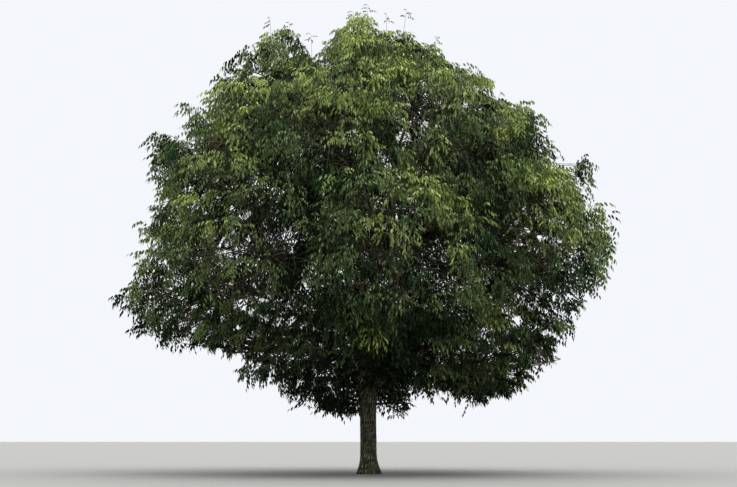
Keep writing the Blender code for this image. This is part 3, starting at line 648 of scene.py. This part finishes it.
def past_outline(points, rim=1.0):
    """True for each point that the viewer sees outside the crown's outline, made larger or
    smaller by the rim's share."""
    across, up, rough = as_seen(points)
    across = across / rim + EDGE_ROUGHNESS * rough
    up = CROWN_MIDDLE_Z + (up - CROWN_MIDDLE_Z) / rim - EDGE_ROUGHNESS * rough
    x, z = np.array(FRONT_OUTLINE).T[:, :, None]
    next_x, next_z = np.roll(x, -1, 0), np.roll(z, -1, 0)
    between = (z > up) != (next_z > up)
    slope = (next_x - x) / np.where(next_z == z, 1, next_z - z)
    return (between & (across < x + slope * (up - z))).sum(0) % 2 == 0


def in_gap(points):
    """True for each point that the viewer sees in an open gap in the crown."""
    across, up, rough = as_seen(points)
    hit = np.zeros(len(points), bool)
    for x, z, half_width, half_height in SKY_GAPS:
        hit |= np.hypot((across - x) / half_width, (up - z) / half_height) < 1 + GAP_ROUGHNESS * rough
    return hit


def looseness_and_painted_shade(points):
    """For each point, the share of leaves missing round it, and its painted shade (below zero, light)."""
    across, up, rough = as_seen(points)
    missing, shade = np.zeros(len(points)), np.zeros(len(points))
    for x, z, half_width, half_height, share, dark in LOOSE_AND_PAINTED_SHADE_PLACES:
        off = np.hypot((across - x) / half_width, (up - z) / half_height)
        near = np.clip(1 + PLACE_FADE - off, 0, PLACE_FADE) / PLACE_FADE
        missing = np.maximum(missing, share * near)
        shade += dark * near
    return missing * np.maximum(0, 1 + LOOSE_CLUMPS * rough), shade


def layer_shift(point, rank):
    """How far up or down from a point the nearest layer of shoot tips lies."""
    level = (point[2] + LAYER_FALL * math.hypot(point[0], point[1])) / LAYER_STEP + LAYER_STAGGER * rank
    return (round(level) - level) * LAYER_STEP


def rods(name, lines, sides, finish):
    """One object of tapering rods along lines of (points, first radius, last radius)."""
    points = np.concatenate([line[0] for line in lines])
    girths = np.concatenate([np.linspace(line[1], line[2], len(line[0])) for line in lines])
    ends = np.cumsum([len(line[0]) for line in lines])
    edges = np.stack([np.arange(len(points) - 1), np.arange(1, len(points))], 1)
    edges = np.delete(edges, ends[:-1] - 1, axis=0)
    mesh = bpy.data.meshes.new(name)
    mesh.from_pydata(points.tolist(), edges.tolist(), [])
    girth = mesh.attributes.new("girth", "FLOAT", "POINT")
    girth.data.foreach_set("value", girths.astype(np.float32))
    piece = new_piece(name, mesh)
    bake_tree(piece, rod_tree, {"Sides": sides, "Girth scale": 1.0, "Finish": finish})
    piece.data.shade_smooth()
    return piece


def new_tree(name, sockets):
    """A geometry tree with its group input, and named inputs of given kinds."""
    tree = bpy.data.node_groups.new(name, "GeometryNodeTree")
    tree.interface.new_socket("Geometry", in_out="INPUT", socket_type="NodeSocketGeometry")
    for socket, kind in sockets.items():
        tree.interface.new_socket(socket, in_out="INPUT", socket_type="NodeSocket" + kind)
    tree.interface.new_socket("Geometry", in_out="OUTPUT", socket_type="NodeSocketGeometry")
    return tree, add_node(tree, "NodeGroupInput")


def bake_tree(piece, tree, values):
    """Runs a geometry tree on a piece with named values, and leaves the result a plain mesh."""
    grower = piece.modifiers.new("grow", "NODES")
    grower.node_group = tree
    for socket in tree.interface.items_tree:
        if socket.in_out == "INPUT" and socket.name in values:
            grower[socket.identifier] = values[socket.name]
    graph = bpy.context.evaluated_depsgraph_get()
    made = bpy.data.meshes.new_from_object(piece.evaluated_get(graph))
    piece.modifiers.remove(grower)
    old, piece.data = piece.data, made
    bpy.data.meshes.remove(old)


def make_rod_tree():
    """Turns each line of edges into a closed rod as thick as its girth values say."""
    tree, given = new_tree("twig_rods", {"Sides": "Int", "Girth scale": "Float", "Finish": "Material"})
    girth = add_node(tree, "GeometryNodeInputNamedAttribute", {"Name": "girth"}, data_type="FLOAT")
    scaled = add_node(tree, "ShaderNodeMath", {
        0: (girth, 0), 1: (given, "Girth scale")}, operation="MULTIPLY")
    curve = add_node(tree, "GeometryNodeMeshToCurve", {"Mesh": (given, "Geometry")})
    ring = add_node(tree, "GeometryNodeCurvePrimitiveCircle", {
        "Resolution": (given, "Sides"), "Radius": 1.0})
    rod = add_node(tree, "GeometryNodeCurveToMesh", {
        "Curve": (curve, 0), "Profile Curve": (ring, 0), "Scale": (scaled, 0), "Fill Caps": True})
    finish_tree(tree, given, rod)
    return tree


def finish_tree(tree, given, last):
    """Ends a tree: what its last node makes is made real and gets the finish."""
    real = add_node(tree, "GeometryNodeRealizeInstances", {"Geometry": (last, 0)})
    finish = add_node(tree, "GeometryNodeSetMaterial", {
        "Geometry": (real, 0), "Material": (given, "Finish")})
    add_node(tree, "NodeGroupOutput", {"Geometry": (finish, 0)})


def smooth_twig_bark():
    """Young ash bark: smooth, olive-grey, with a faint satin gloss and pale freckles 17 mm apart."""
    made, tree = new_finish("smooth_twig_bark")
    place = add_node(tree, "ShaderNodeTexCoord")
    freckles = add_node(tree, "ShaderNodeTexNoise", {
        "Vector": (place, "Object"), "Scale": FRECKLES, "Detail": 3.0})
    colour = add_node(tree, "ShaderNodeMix", {
        0: (freckles, "Fac"), 6: linear("#3A3729"), 7: linear("#6B6850")}, data_type="RGBA")
    skin = add_node(tree, "ShaderNodeBsdfPrincipled", {
        "Base Color": (colour, 2), "Roughness": 0.7, "Specular IOR Level": 0.35})
    add_node(tree, "ShaderNodeOutputMaterial", {"Surface": (skin, 0)})
    return made


rod_tree = make_rod_tree()
twig_bark = smooth_twig_bark()
spaces = Spaces(masses, boughs + leaders + side_limbs)
chance = np.random.default_rng(11)


def tufts_of(mass):
    """A mass's tufts, the leafy ones and then the shaded ones: way out from its middle, distance,
    reach, plumes, how far back these may face, and whether the tuft is shaded."""
    rank, tufts = mass["rank"], []
    count = WAYS_PER_INNER_MASS if mass["ring"] == "inner" else WAYS_PER_MASS
    for k, way in enumerate(outward_ways(mass, count)):
        run = spaces.far_side(rank, way)
        out = TUFT_OUT + TUFT_OUT_SPREAD * wobble(rank, k, 5)
        reach = min(run * (TUFT_REACH_SHARE + TUFT_REACH_SPREAD * wobble(rank, k, 6)), TUFT_REACH_MOST)
        tufts.append((way, run * out, reach, PLUMES_PER_TUFT, PLUME_BACK_LIMIT, False))
    for way in spread_ways(SHADE_TUFTS, SHADE_TURN * rank):
        run = spaces.far_side(rank, way)
        out = chance.uniform(*SHADE_OUT) ** (1 / 3)
        tufts.append((way, run * out, run * SHADE_REACH, SHADE_PLUMES, -1, True))
    return tufts


def arching_shoots(foot, rise, rank):
    """A plume's shoots, spread evenly round its rise: foot, way there, tip, way there."""
    side = normal(np.cross(rise, (0.31, 0.2, 0.1)))
    other = np.cross(rise, side)
    turn = chance.uniform(0, 2 * math.pi)
    shoots = []
    for s in range(SHOOTS_PER_PLUME):
        a = turn + s * 2 * math.pi / SHOOTS_PER_PLUME
        aim = normal(rise + (math.cos(a) * side + math.sin(a) * other) * SHOOT_SPREAD)
        tip = foot + aim * SHOOT_LENGTH * chance.uniform(*SHOOT_SCALE)
        tip[2] += LAYER_PULL * layer_shift(tip, rank)
        shoots.append((foot, rise, tip, normal(aim - np.array((0, 0, SHOOT_DROOP)))))
    return shoots


stem_lines, main_lines, fine_lines, plumes = [], [], [], []
for mass in masses:
    rank, middle = mass["rank"], np.array(mass["middle"])
    stem_base, stem_way = np.array(mass["stem_base"]), np.array(mass["stem_way"])
    stem_end_way = normal(middle - stem_base)
    stem = bend(stem_base, stem_way, middle, stem_end_way, np.linspace(0, 1, STEM_POINTS))
    stem_lines.append((stem, mass["stem_radius"], mass["stem_radius"] * STEM_TIP_SHARE))
    for k, (way, distance, reach, count, back_limit, shaded) in enumerate(tufts_of(mass)):
        centre = middle + way * distance
        start = stem[STEM_FORK_FROM + k % STEM_FORKS]
        aim = normal(centre - start)
        main = bend(start, normal(stem_end_way + way + aim), centre, normal(way + aim + (0, 0, MAIN_RISE)),
                    np.linspace(0, 1, MAIN_POINTS))
        main_lines.append((main, *MAIN_TWIG_RADII))
        ball = spread_ways(count, TUFT_TURN * k + rank)
        for out in ball[ball @ way > back_limit]:
            depth = chance.uniform(*PLUME_DEPTH)
            foot = centre + out * (reach * depth * np.array((1, 1, TUFT_FLATNESS)))
            fork = chance.integers(*MAIN_FORKS)
            aim = normal(foot - main[fork])
            twig = bend(main[fork], normal(way + aim), foot, normal(out + 2 * aim),
                        np.linspace(0, 1, PLUME_POINTS))
            rise = normal(out * PLUME_OUT + way * PLUME_WAY + np.array((0, 0, PLUME_RISE)))
            plumes.append({"rank": rank, "main": len(main_lines) - 1, "fork": fork, "twig": twig,
                           "path": np.concatenate((main[2:fork + 1], twig)),
                           "shoots": arching_shoots(foot, rise, rank), "top": out[2], "depth": depth,
                           "shaded": shaded, "free": False, "rim": chance.uniform(*RIM_SHARES)})
    for reach in LONE_SHOOTS.get(mass["name"], ()):
        foot = middle + np.array((reach[0], reach[1], 0)) * LONE_FOOT_SHARE
        twig, tip = np.array((middle, foot)), middle + np.array(reach)
        rise = normal(tip - foot)
        plumes.append({"rank": rank, "main": len(main_lines) - 1, "fork": 0, "twig": twig, "path": twig,
                       "shoots": [(foot, rise, tip, rise)], "top": LONE_TOP, "depth": 1.0,
                       "shaded": False, "free": True, "rim": 1.0})


# An ash leaf is an arching stalk with three pairs of hanging, pointed leaflets and one at its end,
# dark green. Five or so radiate from each shoot tip and droop like a small fountain. Their greens
# are painted light and shade, dealt out by spray: palest where lit on top, darkest in painted shade.
STALK_LENGTH, STALK_WIDTH, STALK_FOOT, STALK_ARCH, STALK_STEP = 0.36, 0.006, 1.3, 0.12, 0.05
LEAFLET_LENGTH, LEAFLET_WIDTH, PAIR_PLACES = 0.12, 0.042, (0.32, 0.6, 0.86)
FEWEST_LEAVES, TWIG_RIM, LEAF_OVERLAP = 5, 0.98, 0.35
LEAF_SCALE, FIRST_SEED, PIECE_TRIANGLES = (0.85, 1.12), 7, 190000

# Leaflets: how far they keep to the stalk's run, their twist, how their way varies, the fold
# along the rib, the drop of the tip, and their length: at the foot, gained outwards, varied.
RUN_SHARE, LEAFLET_TWIST, WAY_CHANGE, FOLD, TIP_DROP = 0.35, 0.35, 0.15, 0.16, 0.1
FIRST_LENGTH, LENGTH_GAIN, LENGTH_CHANGE = 0.86, 0.14, 0.08

# Where a blade has its corners and how wide each side is there, both as shares of the blade.
FINE_BLADE, PLAIN_BLADE = ((0.3, 0.48), (0.66, 0.4)), ((0.42, 0.5),)

# Leaves stand in crossed pairs along the last stretch of a shoot: the gap between pairs, the
# pairs on a shoot, and the size of each pair, from the tip back.
NODE_SPACING, NODE_SIZES, LONE_NODE_SIZES = 0.085, (0.8, 1.0, 1.05), (0.35, 0.45, 0.55)

# A shoot is longer than the straight way by its arch. Its leaves turn sideways, along it (the
# last one more), and out of the crown, are levelled, and rise or fall between two limits.
SHOOT_ARCH, LOWEST_NODE, NODE_STEP = 1.06, 0.05, 0.04
SIDE_PULL, END_PULL, RUN_PULL, OUTWARD_LEAN, LEVELLING = 0.9, 0.9, 0.5, 0.75, 0.7
LEAF_PITCH, AROUND_CHANGE, ROLL_CHANGE = (-0.6, 0.7), 0.2, 0.22

# A leaf is tested at its foot, in its body, and past its hanging tip.
BODY_SHARE, TIP_SHARE, TIP_HANG = 0.6, 1.1, 0.14

# Leaf habits: how much the stalk rises and sags, how far the leaflets spread, and hang.
LEAF_HABITS = (
    (0.25, 0.45, 0.45, 1.4), (0.35, 0.7, 0.35, 1.9), (0.4, 1.0, 0.3, 2.4), (0.2, 0.55, 0.4, 1.8),
    (0.3, 0.85, 0.3, 2.2), (0.45, 0.85, 0.4, 1.6),
)

# Each shade is a painted light or shade copy of one leaf: its name, its green, its share of the plumes,
# and its gloss, which is less in painted shade. The palest ones are seen best, so their blades have more
# corners.
LEAF_GREENS = (
    ("fresh_leaf", "#8F9D57", 0.08, 0.4), ("light_leaf", "#77864B", 0.17, 0.4),
    ("summer_leaf", "#5B6C42", 0.23, 0.35), ("full_leaf", "#324929", 0.2, 0.25),
    ("shade_leaf", "#0F1F08", 0.32, 0.1),
)
DETAILED_SHADES = 2


def ash_leaf(rise, sag, spread, hang, detailed):
    """Corners and faces of one leaf that grows along +X from the origin."""
    corners, faces = [], []

    def stalk(s):
        out = STALK_LENGTH * s * (1 - STALK_ARCH * s)
        return np.array((out, 0, STALK_LENGTH * (rise * s - sag * s * s)))

    shares = (0, 0.5, 1) if detailed else (0, 1)
    for s in shares:
        half = STALK_WIDTH / 2 * (STALK_FOOT - s)
        corners += [stalk(s) + (0, half, 0), stalk(s) - (0, half, 0)]
    for i in range(len(shares) - 1):
        faces.append((2 * i, 2 * i + 1, 2 * i + 3, 2 * i + 2))
    places = [(s, side) for s in PAIR_PLACES for side in (1, -1)] + [(1.0, 0)]
    for number, (s, side) in enumerate(places):
        run = normal(stalk(s + STALK_STEP) - stalk(s - STALK_STEP))
        way = normal(run * (RUN_SHARE if side else 1) + np.array((0, side * spread, -hang)))
        across = normal(run - way * (run @ way)) if side else np.array((0, 1.0, 0))
        twist = LEAFLET_TWIST * wobble(number, sag, 1)
        way = normal(way + WAY_CHANGE * np.array([wobble(number, sag, k) for k in (2, 3, 4)]))
        across = across * math.cos(twist) + np.cross(way, across) * math.sin(twist)
        face = normal(np.cross(way, across))
        face = face if face[2] > 0 else -face
        long = LEAFLET_LENGTH * (FIRST_LENGTH + LENGTH_GAIN * s + LENGTH_CHANGE * wobble(number, sag, 5))
        start = stalk(s)
        tip = start + way * long - np.array((0, 0, TIP_DROP * long))
        fold = face * LEAFLET_WIDTH * FOLD
        first = len(corners)
        corners.append(start)
        for share, width in FINE_BLADE if detailed else PLAIN_BLADE:
            rib = start + way * (long * share)
            edge = across * (LEAFLET_WIDTH * width)
            corners += [rib + edge + fold, rib - edge + fold]
        corners.append(tip)
        if detailed:
            faces += [(first, first + 1, first + 3, first + 5), (first, first + 5, first + 4, first + 2)]
        else:
            faces += [(first, first + 1, first + 3), (first, first + 3, first + 2)]
    return corners, faces


def make_leaf_tree():
    """Sets a leaf of one of several habits on each point, turned as the point says."""
    tree, given = new_tree("deal_leaves", {
        "Leaves": "Collection", "Smallest": "Float", "Largest": "Float", "Seed": "Int",
        "Finish": "Material"})
    habits = add_node(tree, "GeometryNodeCollectionInfo", {
        "Collection": (given, "Leaves"), "Separate Children": True, "Reset Children": True})
    turn, habit, vigour = (
        add_node(tree, "GeometryNodeInputNamedAttribute", {"Name": name}, data_type=kind)
        for name, kind in (("turn", "FLOAT_VECTOR"), ("habit", "INT"), ("vigour", "FLOAT")))
    spin = add_node(tree, "FunctionNodeEulerToRotation", {0: (turn, 0)})
    size = add_node(tree, "FunctionNodeRandomValue", {
        2: (given, "Smallest"), 3: (given, "Largest"), "Seed": (given, "Seed")}, data_type="FLOAT")
    grown = add_node(tree, "ShaderNodeMath", {0: (size, 1), 1: (vigour, 0)}, operation="MULTIPLY")
    dealt = add_node(tree, "GeometryNodeInstanceOnPoints", {
        "Points": (given, "Geometry"), "Instance": (habits, 0), "Pick Instance": True,
        "Instance Index": (habit, 0), "Rotation": (spin, 0), "Scale": (grown, 0)})
    finish_tree(tree, given, dealt)
    return tree


def waxy_leaf(name, hex_colour, gloss):
    """A leaf's cuticle: a thin wax that gives a soft, cool sheen over flat green."""
    made, tree = new_finish(name)
    skin = add_node(tree, "ShaderNodeBsdfPrincipled", {
        "Base Color": linear(hex_colour), "Roughness": 0.48, "Specular IOR Level": gloss})
    add_node(tree, "ShaderNodeOutputMaterial", {"Surface": (skin, 0)})
    return made


habit_objects = bpy.data.collections.new("leaf_habits")
habit_triangles = []
for detailed in (True, False):
    for habit in LEAF_HABITS:
        leaf_corners, leaf_faces = ash_leaf(*habit, detailed)
        leaf_name = f"ash_leaf_{len(habit_triangles)}"
        leaf_mesh = bpy.data.meshes.new(leaf_name)
        leaf_mesh.from_pydata([tuple(c) for c in leaf_corners], [], leaf_faces)
        habit_objects.objects.link(bpy.data.objects.new(leaf_name, leaf_mesh))
        habit_triangles.append(sum(len(face) - 2 for face in leaf_faces))
leaf_tree = make_leaf_tree()

# Each leaf that would leave its mass's space, touch a limb or close a gap of sky is left out,
# and so is each plume that keeps few leaves, or whose own twig would show outside the crown.
roots, turns, vigours, plume_of = [], [], [], []
for number, plume in enumerate(plumes):
    rank, rim, free = plume["rank"], plume["rim"], plume["free"]
    if past_outline(plume["path"], rim * TWIG_RIM).any() and not free:
        continue
    leafy = []
    for foot, rise, tip, tip_way in plume["shoots"]:
        sizes = np.repeat(LONE_NODE_SIZES if free else NODE_SIZES, 2)[1:]
        count = len(sizes)
        node = (np.arange(count) + 1) // 2
        long = SHOOT_ARCH * np.linalg.norm(tip - foot)
        shares = np.clip(1 - node * NODE_SPACING / long, LOWEST_NODE, 1)
        places = bend(foot, rise, tip, tip_way, shares)
        runs = normal(places - bend(foot, rise, tip, tip_way, shares - NODE_STEP))
        side = normal(np.cross(runs, (0.3, 0.2, 1.0)))
        other = np.cross(runs, side)
        around = chance.uniform(0, math.pi) + np.arange(count) % 2 * math.pi + node * math.pi / 2
        around = (around + chance.normal(0, AROUND_CHANGE, count))[:, None]
        ways = (np.cos(around) * side + np.sin(around) * other) * SIDE_PULL
        ways += runs * np.where(node == 0, END_PULL, RUN_PULL)[:, None]
        ways += normal(places * (1, 1, 0)) * OUTWARD_LEAN
        ways[:, 2] *= LEVELLING
        ways = normal(ways)
        yaw = np.arctan2(ways[:, 1], ways[:, 0])
        pitch = np.clip(np.arcsin(ways[:, 2]), *LEAF_PITCH)
        flat = np.stack([np.cos(yaw), np.sin(yaw), np.zeros(count)], 1) * STALK_LENGTH * sizes[:, None]
        lift = (np.sin(pitch) * STALK_LENGTH * sizes)[:, None] * np.array((0, 0, 1.0))
        body = places + flat * BODY_SHARE + lift * BODY_SHARE
        samples = np.concatenate([places, body, places + flat * TIP_SHARE + lift - (0, 0, TIP_HANG)])
        fits = spaces.hold(rank, samples, LEAF_OVERLAP, rim)
        fits &= ~past_outline(samples, rim) & ~in_gap(samples)
        fits = ((fits | free) & spaces.clear(rank, samples)).reshape(3, count).all(0)
        missing = np.maximum(looseness_and_painted_shade(body)[0], RIM_LOOSENESS * past_outline(body, rim * RIM_BAND))
        fits &= (chance.uniform(0, 1, count) > missing) | free
        tilts = np.stack([chance.normal(0, ROLL_CHANGE, count), -pitch, yaw], 1)
        if fits.any():
            shoot = bend(foot, rise, tip, tip_way, np.linspace(0, shares[fits].max(), 3))
            leafy.append((shoot, places[fits], tilts[fits], sizes[fits]))
    if sum(len(shoot[1]) for shoot in leafy) < (1 if free else FEWEST_LEAVES):
        continue
    fine_lines.append((plume["twig"], *PLUME_TWIG_RADII))
    for shoot, places, tilts, sizes in leafy:
        fine_lines.append((shoot, *SHOOT_RADII))
        roots.append(places)
        turns.append(tilts)
        vigours.append(sizes)
        plume_of.append(np.full(len(sizes), number))
roots, turns = np.concatenate(roots), np.concatenate(turns)
vigours, plume_of = np.concatenate(vigours), np.concatenate(plume_of)
habits = chance.integers(0, len(LEAF_HABITS), len(roots))

# A main twig ends where the last plume with leaves forks off, and is left out if it has none.
ends = {}
for plume in [plumes[number] for number in np.unique(plume_of)]:
    ends[plume["main"]] = max(ends.get(plume["main"], 1), plume["fork"])
main_lines = stem_lines + [(main_lines[i][0][:end + 1], *MAIN_TWIG_RADII) for i, end in ends.items()]

mass_names = [mass["name"] for mass in masses]
third = len(fine_lines) // 3
for piece_name, lines, sides in (
        ("main_twigs", main_lines, 4), ("fine_twigs_1", fine_lines[:third], 3),
        ("fine_twigs_2", fine_lines[third:2 * third], 3), ("fine_twigs_3", fine_lines[2 * third:], 3)):
    twig_piece = rods(piece_name, lines, sides, twig_bark)
    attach(twig_piece, "root")
    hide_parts(*mass_names)

# The leaf greens are painted light and shade. Shades go out by how high a plume sits in its mass,
# its tuft and the crown, and how far out, with painted shade for the shaded tufts and by place.
# Those at the rim, which are seen against the sky, get darker painted shade.
MASS_LIGHT, TUFT_LIGHT, DEPTH_LIGHT, HEIGHT_LIGHT, INNER_SHADE = 0.7, 0.85, 1.1, 1.5, 2.0
RIM_SHADE, RIM_SHADE_BAND, SHADE_CHANCE = 0.8, 0.94, 0.32
light = []
for plume in plumes:
    mass = masses[plume["rank"]]
    tip = plume["shoots"][0][2]
    rise, height = (tip[2] - mass["middle"].z) / mass["reach"].z, tip[2] / CROWN_TOP_Z
    lit = MASS_LIGHT * rise + TUFT_LIGHT * plume["top"] + DEPTH_LIGHT * plume["depth"]
    lit = lit + HEIGHT_LIGHT * height - INNER_SHADE * plume["shaded"]
    lit -= looseness_and_painted_shade(tip[None])[1][0] + RIM_SHADE * past_outline(tip[None], RIM_SHADE_BAND)[0]
    light.append(lit + chance.normal(0, SHADE_CHANCE))
order = np.argsort(np.argsort(-np.array(light)))[plume_of] / len(plumes)
share_from = 0.0
# Each shade is its own material, a painted light or shade copy of the leaf.
for shade_number, (shade_name, hex_colour, share, gloss) in enumerate(LEAF_GREENS):
    chosen = np.flatnonzero((order >= share_from) & (order < share_from + share + 1e-9))
    share_from += share
    finish = waxy_leaf(shade_name, hex_colour, gloss)
    habit_from = 0 if shade_number < DETAILED_SHADES else len(LEAF_HABITS)
    count = math.ceil(len(chosen) * habit_triangles[habit_from] / PIECE_TRIANGLES)
    for part, picked in enumerate(np.array_split(chosen, count)):
        leaf_mesh = bpy.data.meshes.new("leaf_points")
        leaf_mesh.from_pydata(roots[picked].tolist(), [], [])
        for label, kind, values in (("turn", "FLOAT_VECTOR", turns), ("habit", "INT", habits + habit_from),
                                    ("vigour", "FLOAT", vigours)):
            attribute = leaf_mesh.attributes.new(label, kind, "POINT")
            field = "vector" if kind == "FLOAT_VECTOR" else "value"
            dtype = np.int32 if kind == "INT" else np.float32
            attribute.data.foreach_set(field, values[picked].astype(dtype).ravel())
        leaves = new_piece(f"{shade_name}_{part + 1}", leaf_mesh)
        bake_tree(leaves, leaf_tree, {
            "Leaves": habit_objects, "Smallest": LEAF_SCALE[0], "Largest": LEAF_SCALE[1],
            "Seed": FIRST_SEED + shade_number, "Finish": finish})
        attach(leaves, "root")
        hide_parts(*mass_names)


# The stage: a pale floor, a bright even sky that is strongest overhead, one soft high key light
# from the front right, and the viewer's camera at chest height, 45 m away, tilted up a little.
FLOOR_REACH = 200.0
SKY_LOW, SKY_HIGH, SKY_RISE_FROM, SKY_RISE_TO = "#F6F8FC", "#FFFFFF", 0.3, 0.9
SKY_LOW_STRENGTH, SKY_HIGH_STRENGTH = 1.0, 3.2
KEY_ENERGY, KEY_SPREAD, KEY_WAY = 1.0, 40, (-0.45, 0.5, -1.0)
LENS, SENSOR_WIDTH, TILT, SIGHT, GAMMA = 85.0, 36.0, 6.27, 1000.0, 0.8

plaster, plaster_tree = new_finish("pale_floor")
skin = add_node(plaster_tree, "ShaderNodeBsdfPrincipled", {
    "Base Color": linear("#81817E"), "Roughness": 0.9})
add_node(plaster_tree, "ShaderNodeOutputMaterial", {"Surface": (skin, 0)})
floor_mesh = bpy.data.meshes.new("floor")
sides = ((-1, -1), (1, -1), (1, 1), (-1, 1))
floor_mesh.from_pydata([(x * FLOOR_REACH, y * FLOOR_REACH, 0) for x, y in sides], [], [(0, 1, 2, 3)])
floor_mesh.materials.append(plaster)
new_piece("floor", floor_mesh)

world = bpy.data.worlds.new("soft_sky")
bpy.context.scene.world = world
world.use_nodes = True
sky = world.node_tree
sky.nodes.clear()
direction = add_node(sky, "ShaderNodeTexCoord")
parts = add_node(sky, "ShaderNodeSeparateXYZ", {0: (direction, "Generated")})
climb = {"Value": (parts, "Z"), "From Min": SKY_RISE_FROM, "From Max": SKY_RISE_TO}
height = add_node(sky, "ShaderNodeMapRange", climb)
glow = add_node(sky, "ShaderNodeMix", {
    0: (height, 0), 6: linear(SKY_LOW), 7: linear(SKY_HIGH)}, data_type="RGBA")
power = add_node(sky, "ShaderNodeMapRange", {
    **climb, "To Min": SKY_LOW_STRENGTH, "To Max": SKY_HIGH_STRENGTH})
shine = add_node(sky, "ShaderNodeBackground", {"Color": (glow, 2), "Strength": (power, 0)})
add_node(sky, "ShaderNodeOutputWorld", {"Surface": (shine, 0)})

key = bpy.data.lights.new("key", "SUN")
key.energy = KEY_ENERGY
key.angle = math.radians(KEY_SPREAD)
new_piece("key", key).rotation_euler = Vector(KEY_WAY).to_track_quat("-Z", "Y").to_euler()

camera = bpy.data.cameras.new("camera")
camera.sensor_width = SENSOR_WIDTH
camera.lens = LENS
camera.clip_end = SIGHT
viewer = new_piece("camera", camera)
viewer.location = (0, -VIEW_DISTANCE, VIEW_HEIGHT)
viewer.rotation_euler = (math.radians(90 + TILT), 0, 0)
bpy.context.scene.camera = viewer
bpy.context.scene.view_settings.view_transform = "Standard"
bpy.context.scene.view_settings.gamma = GAMMA
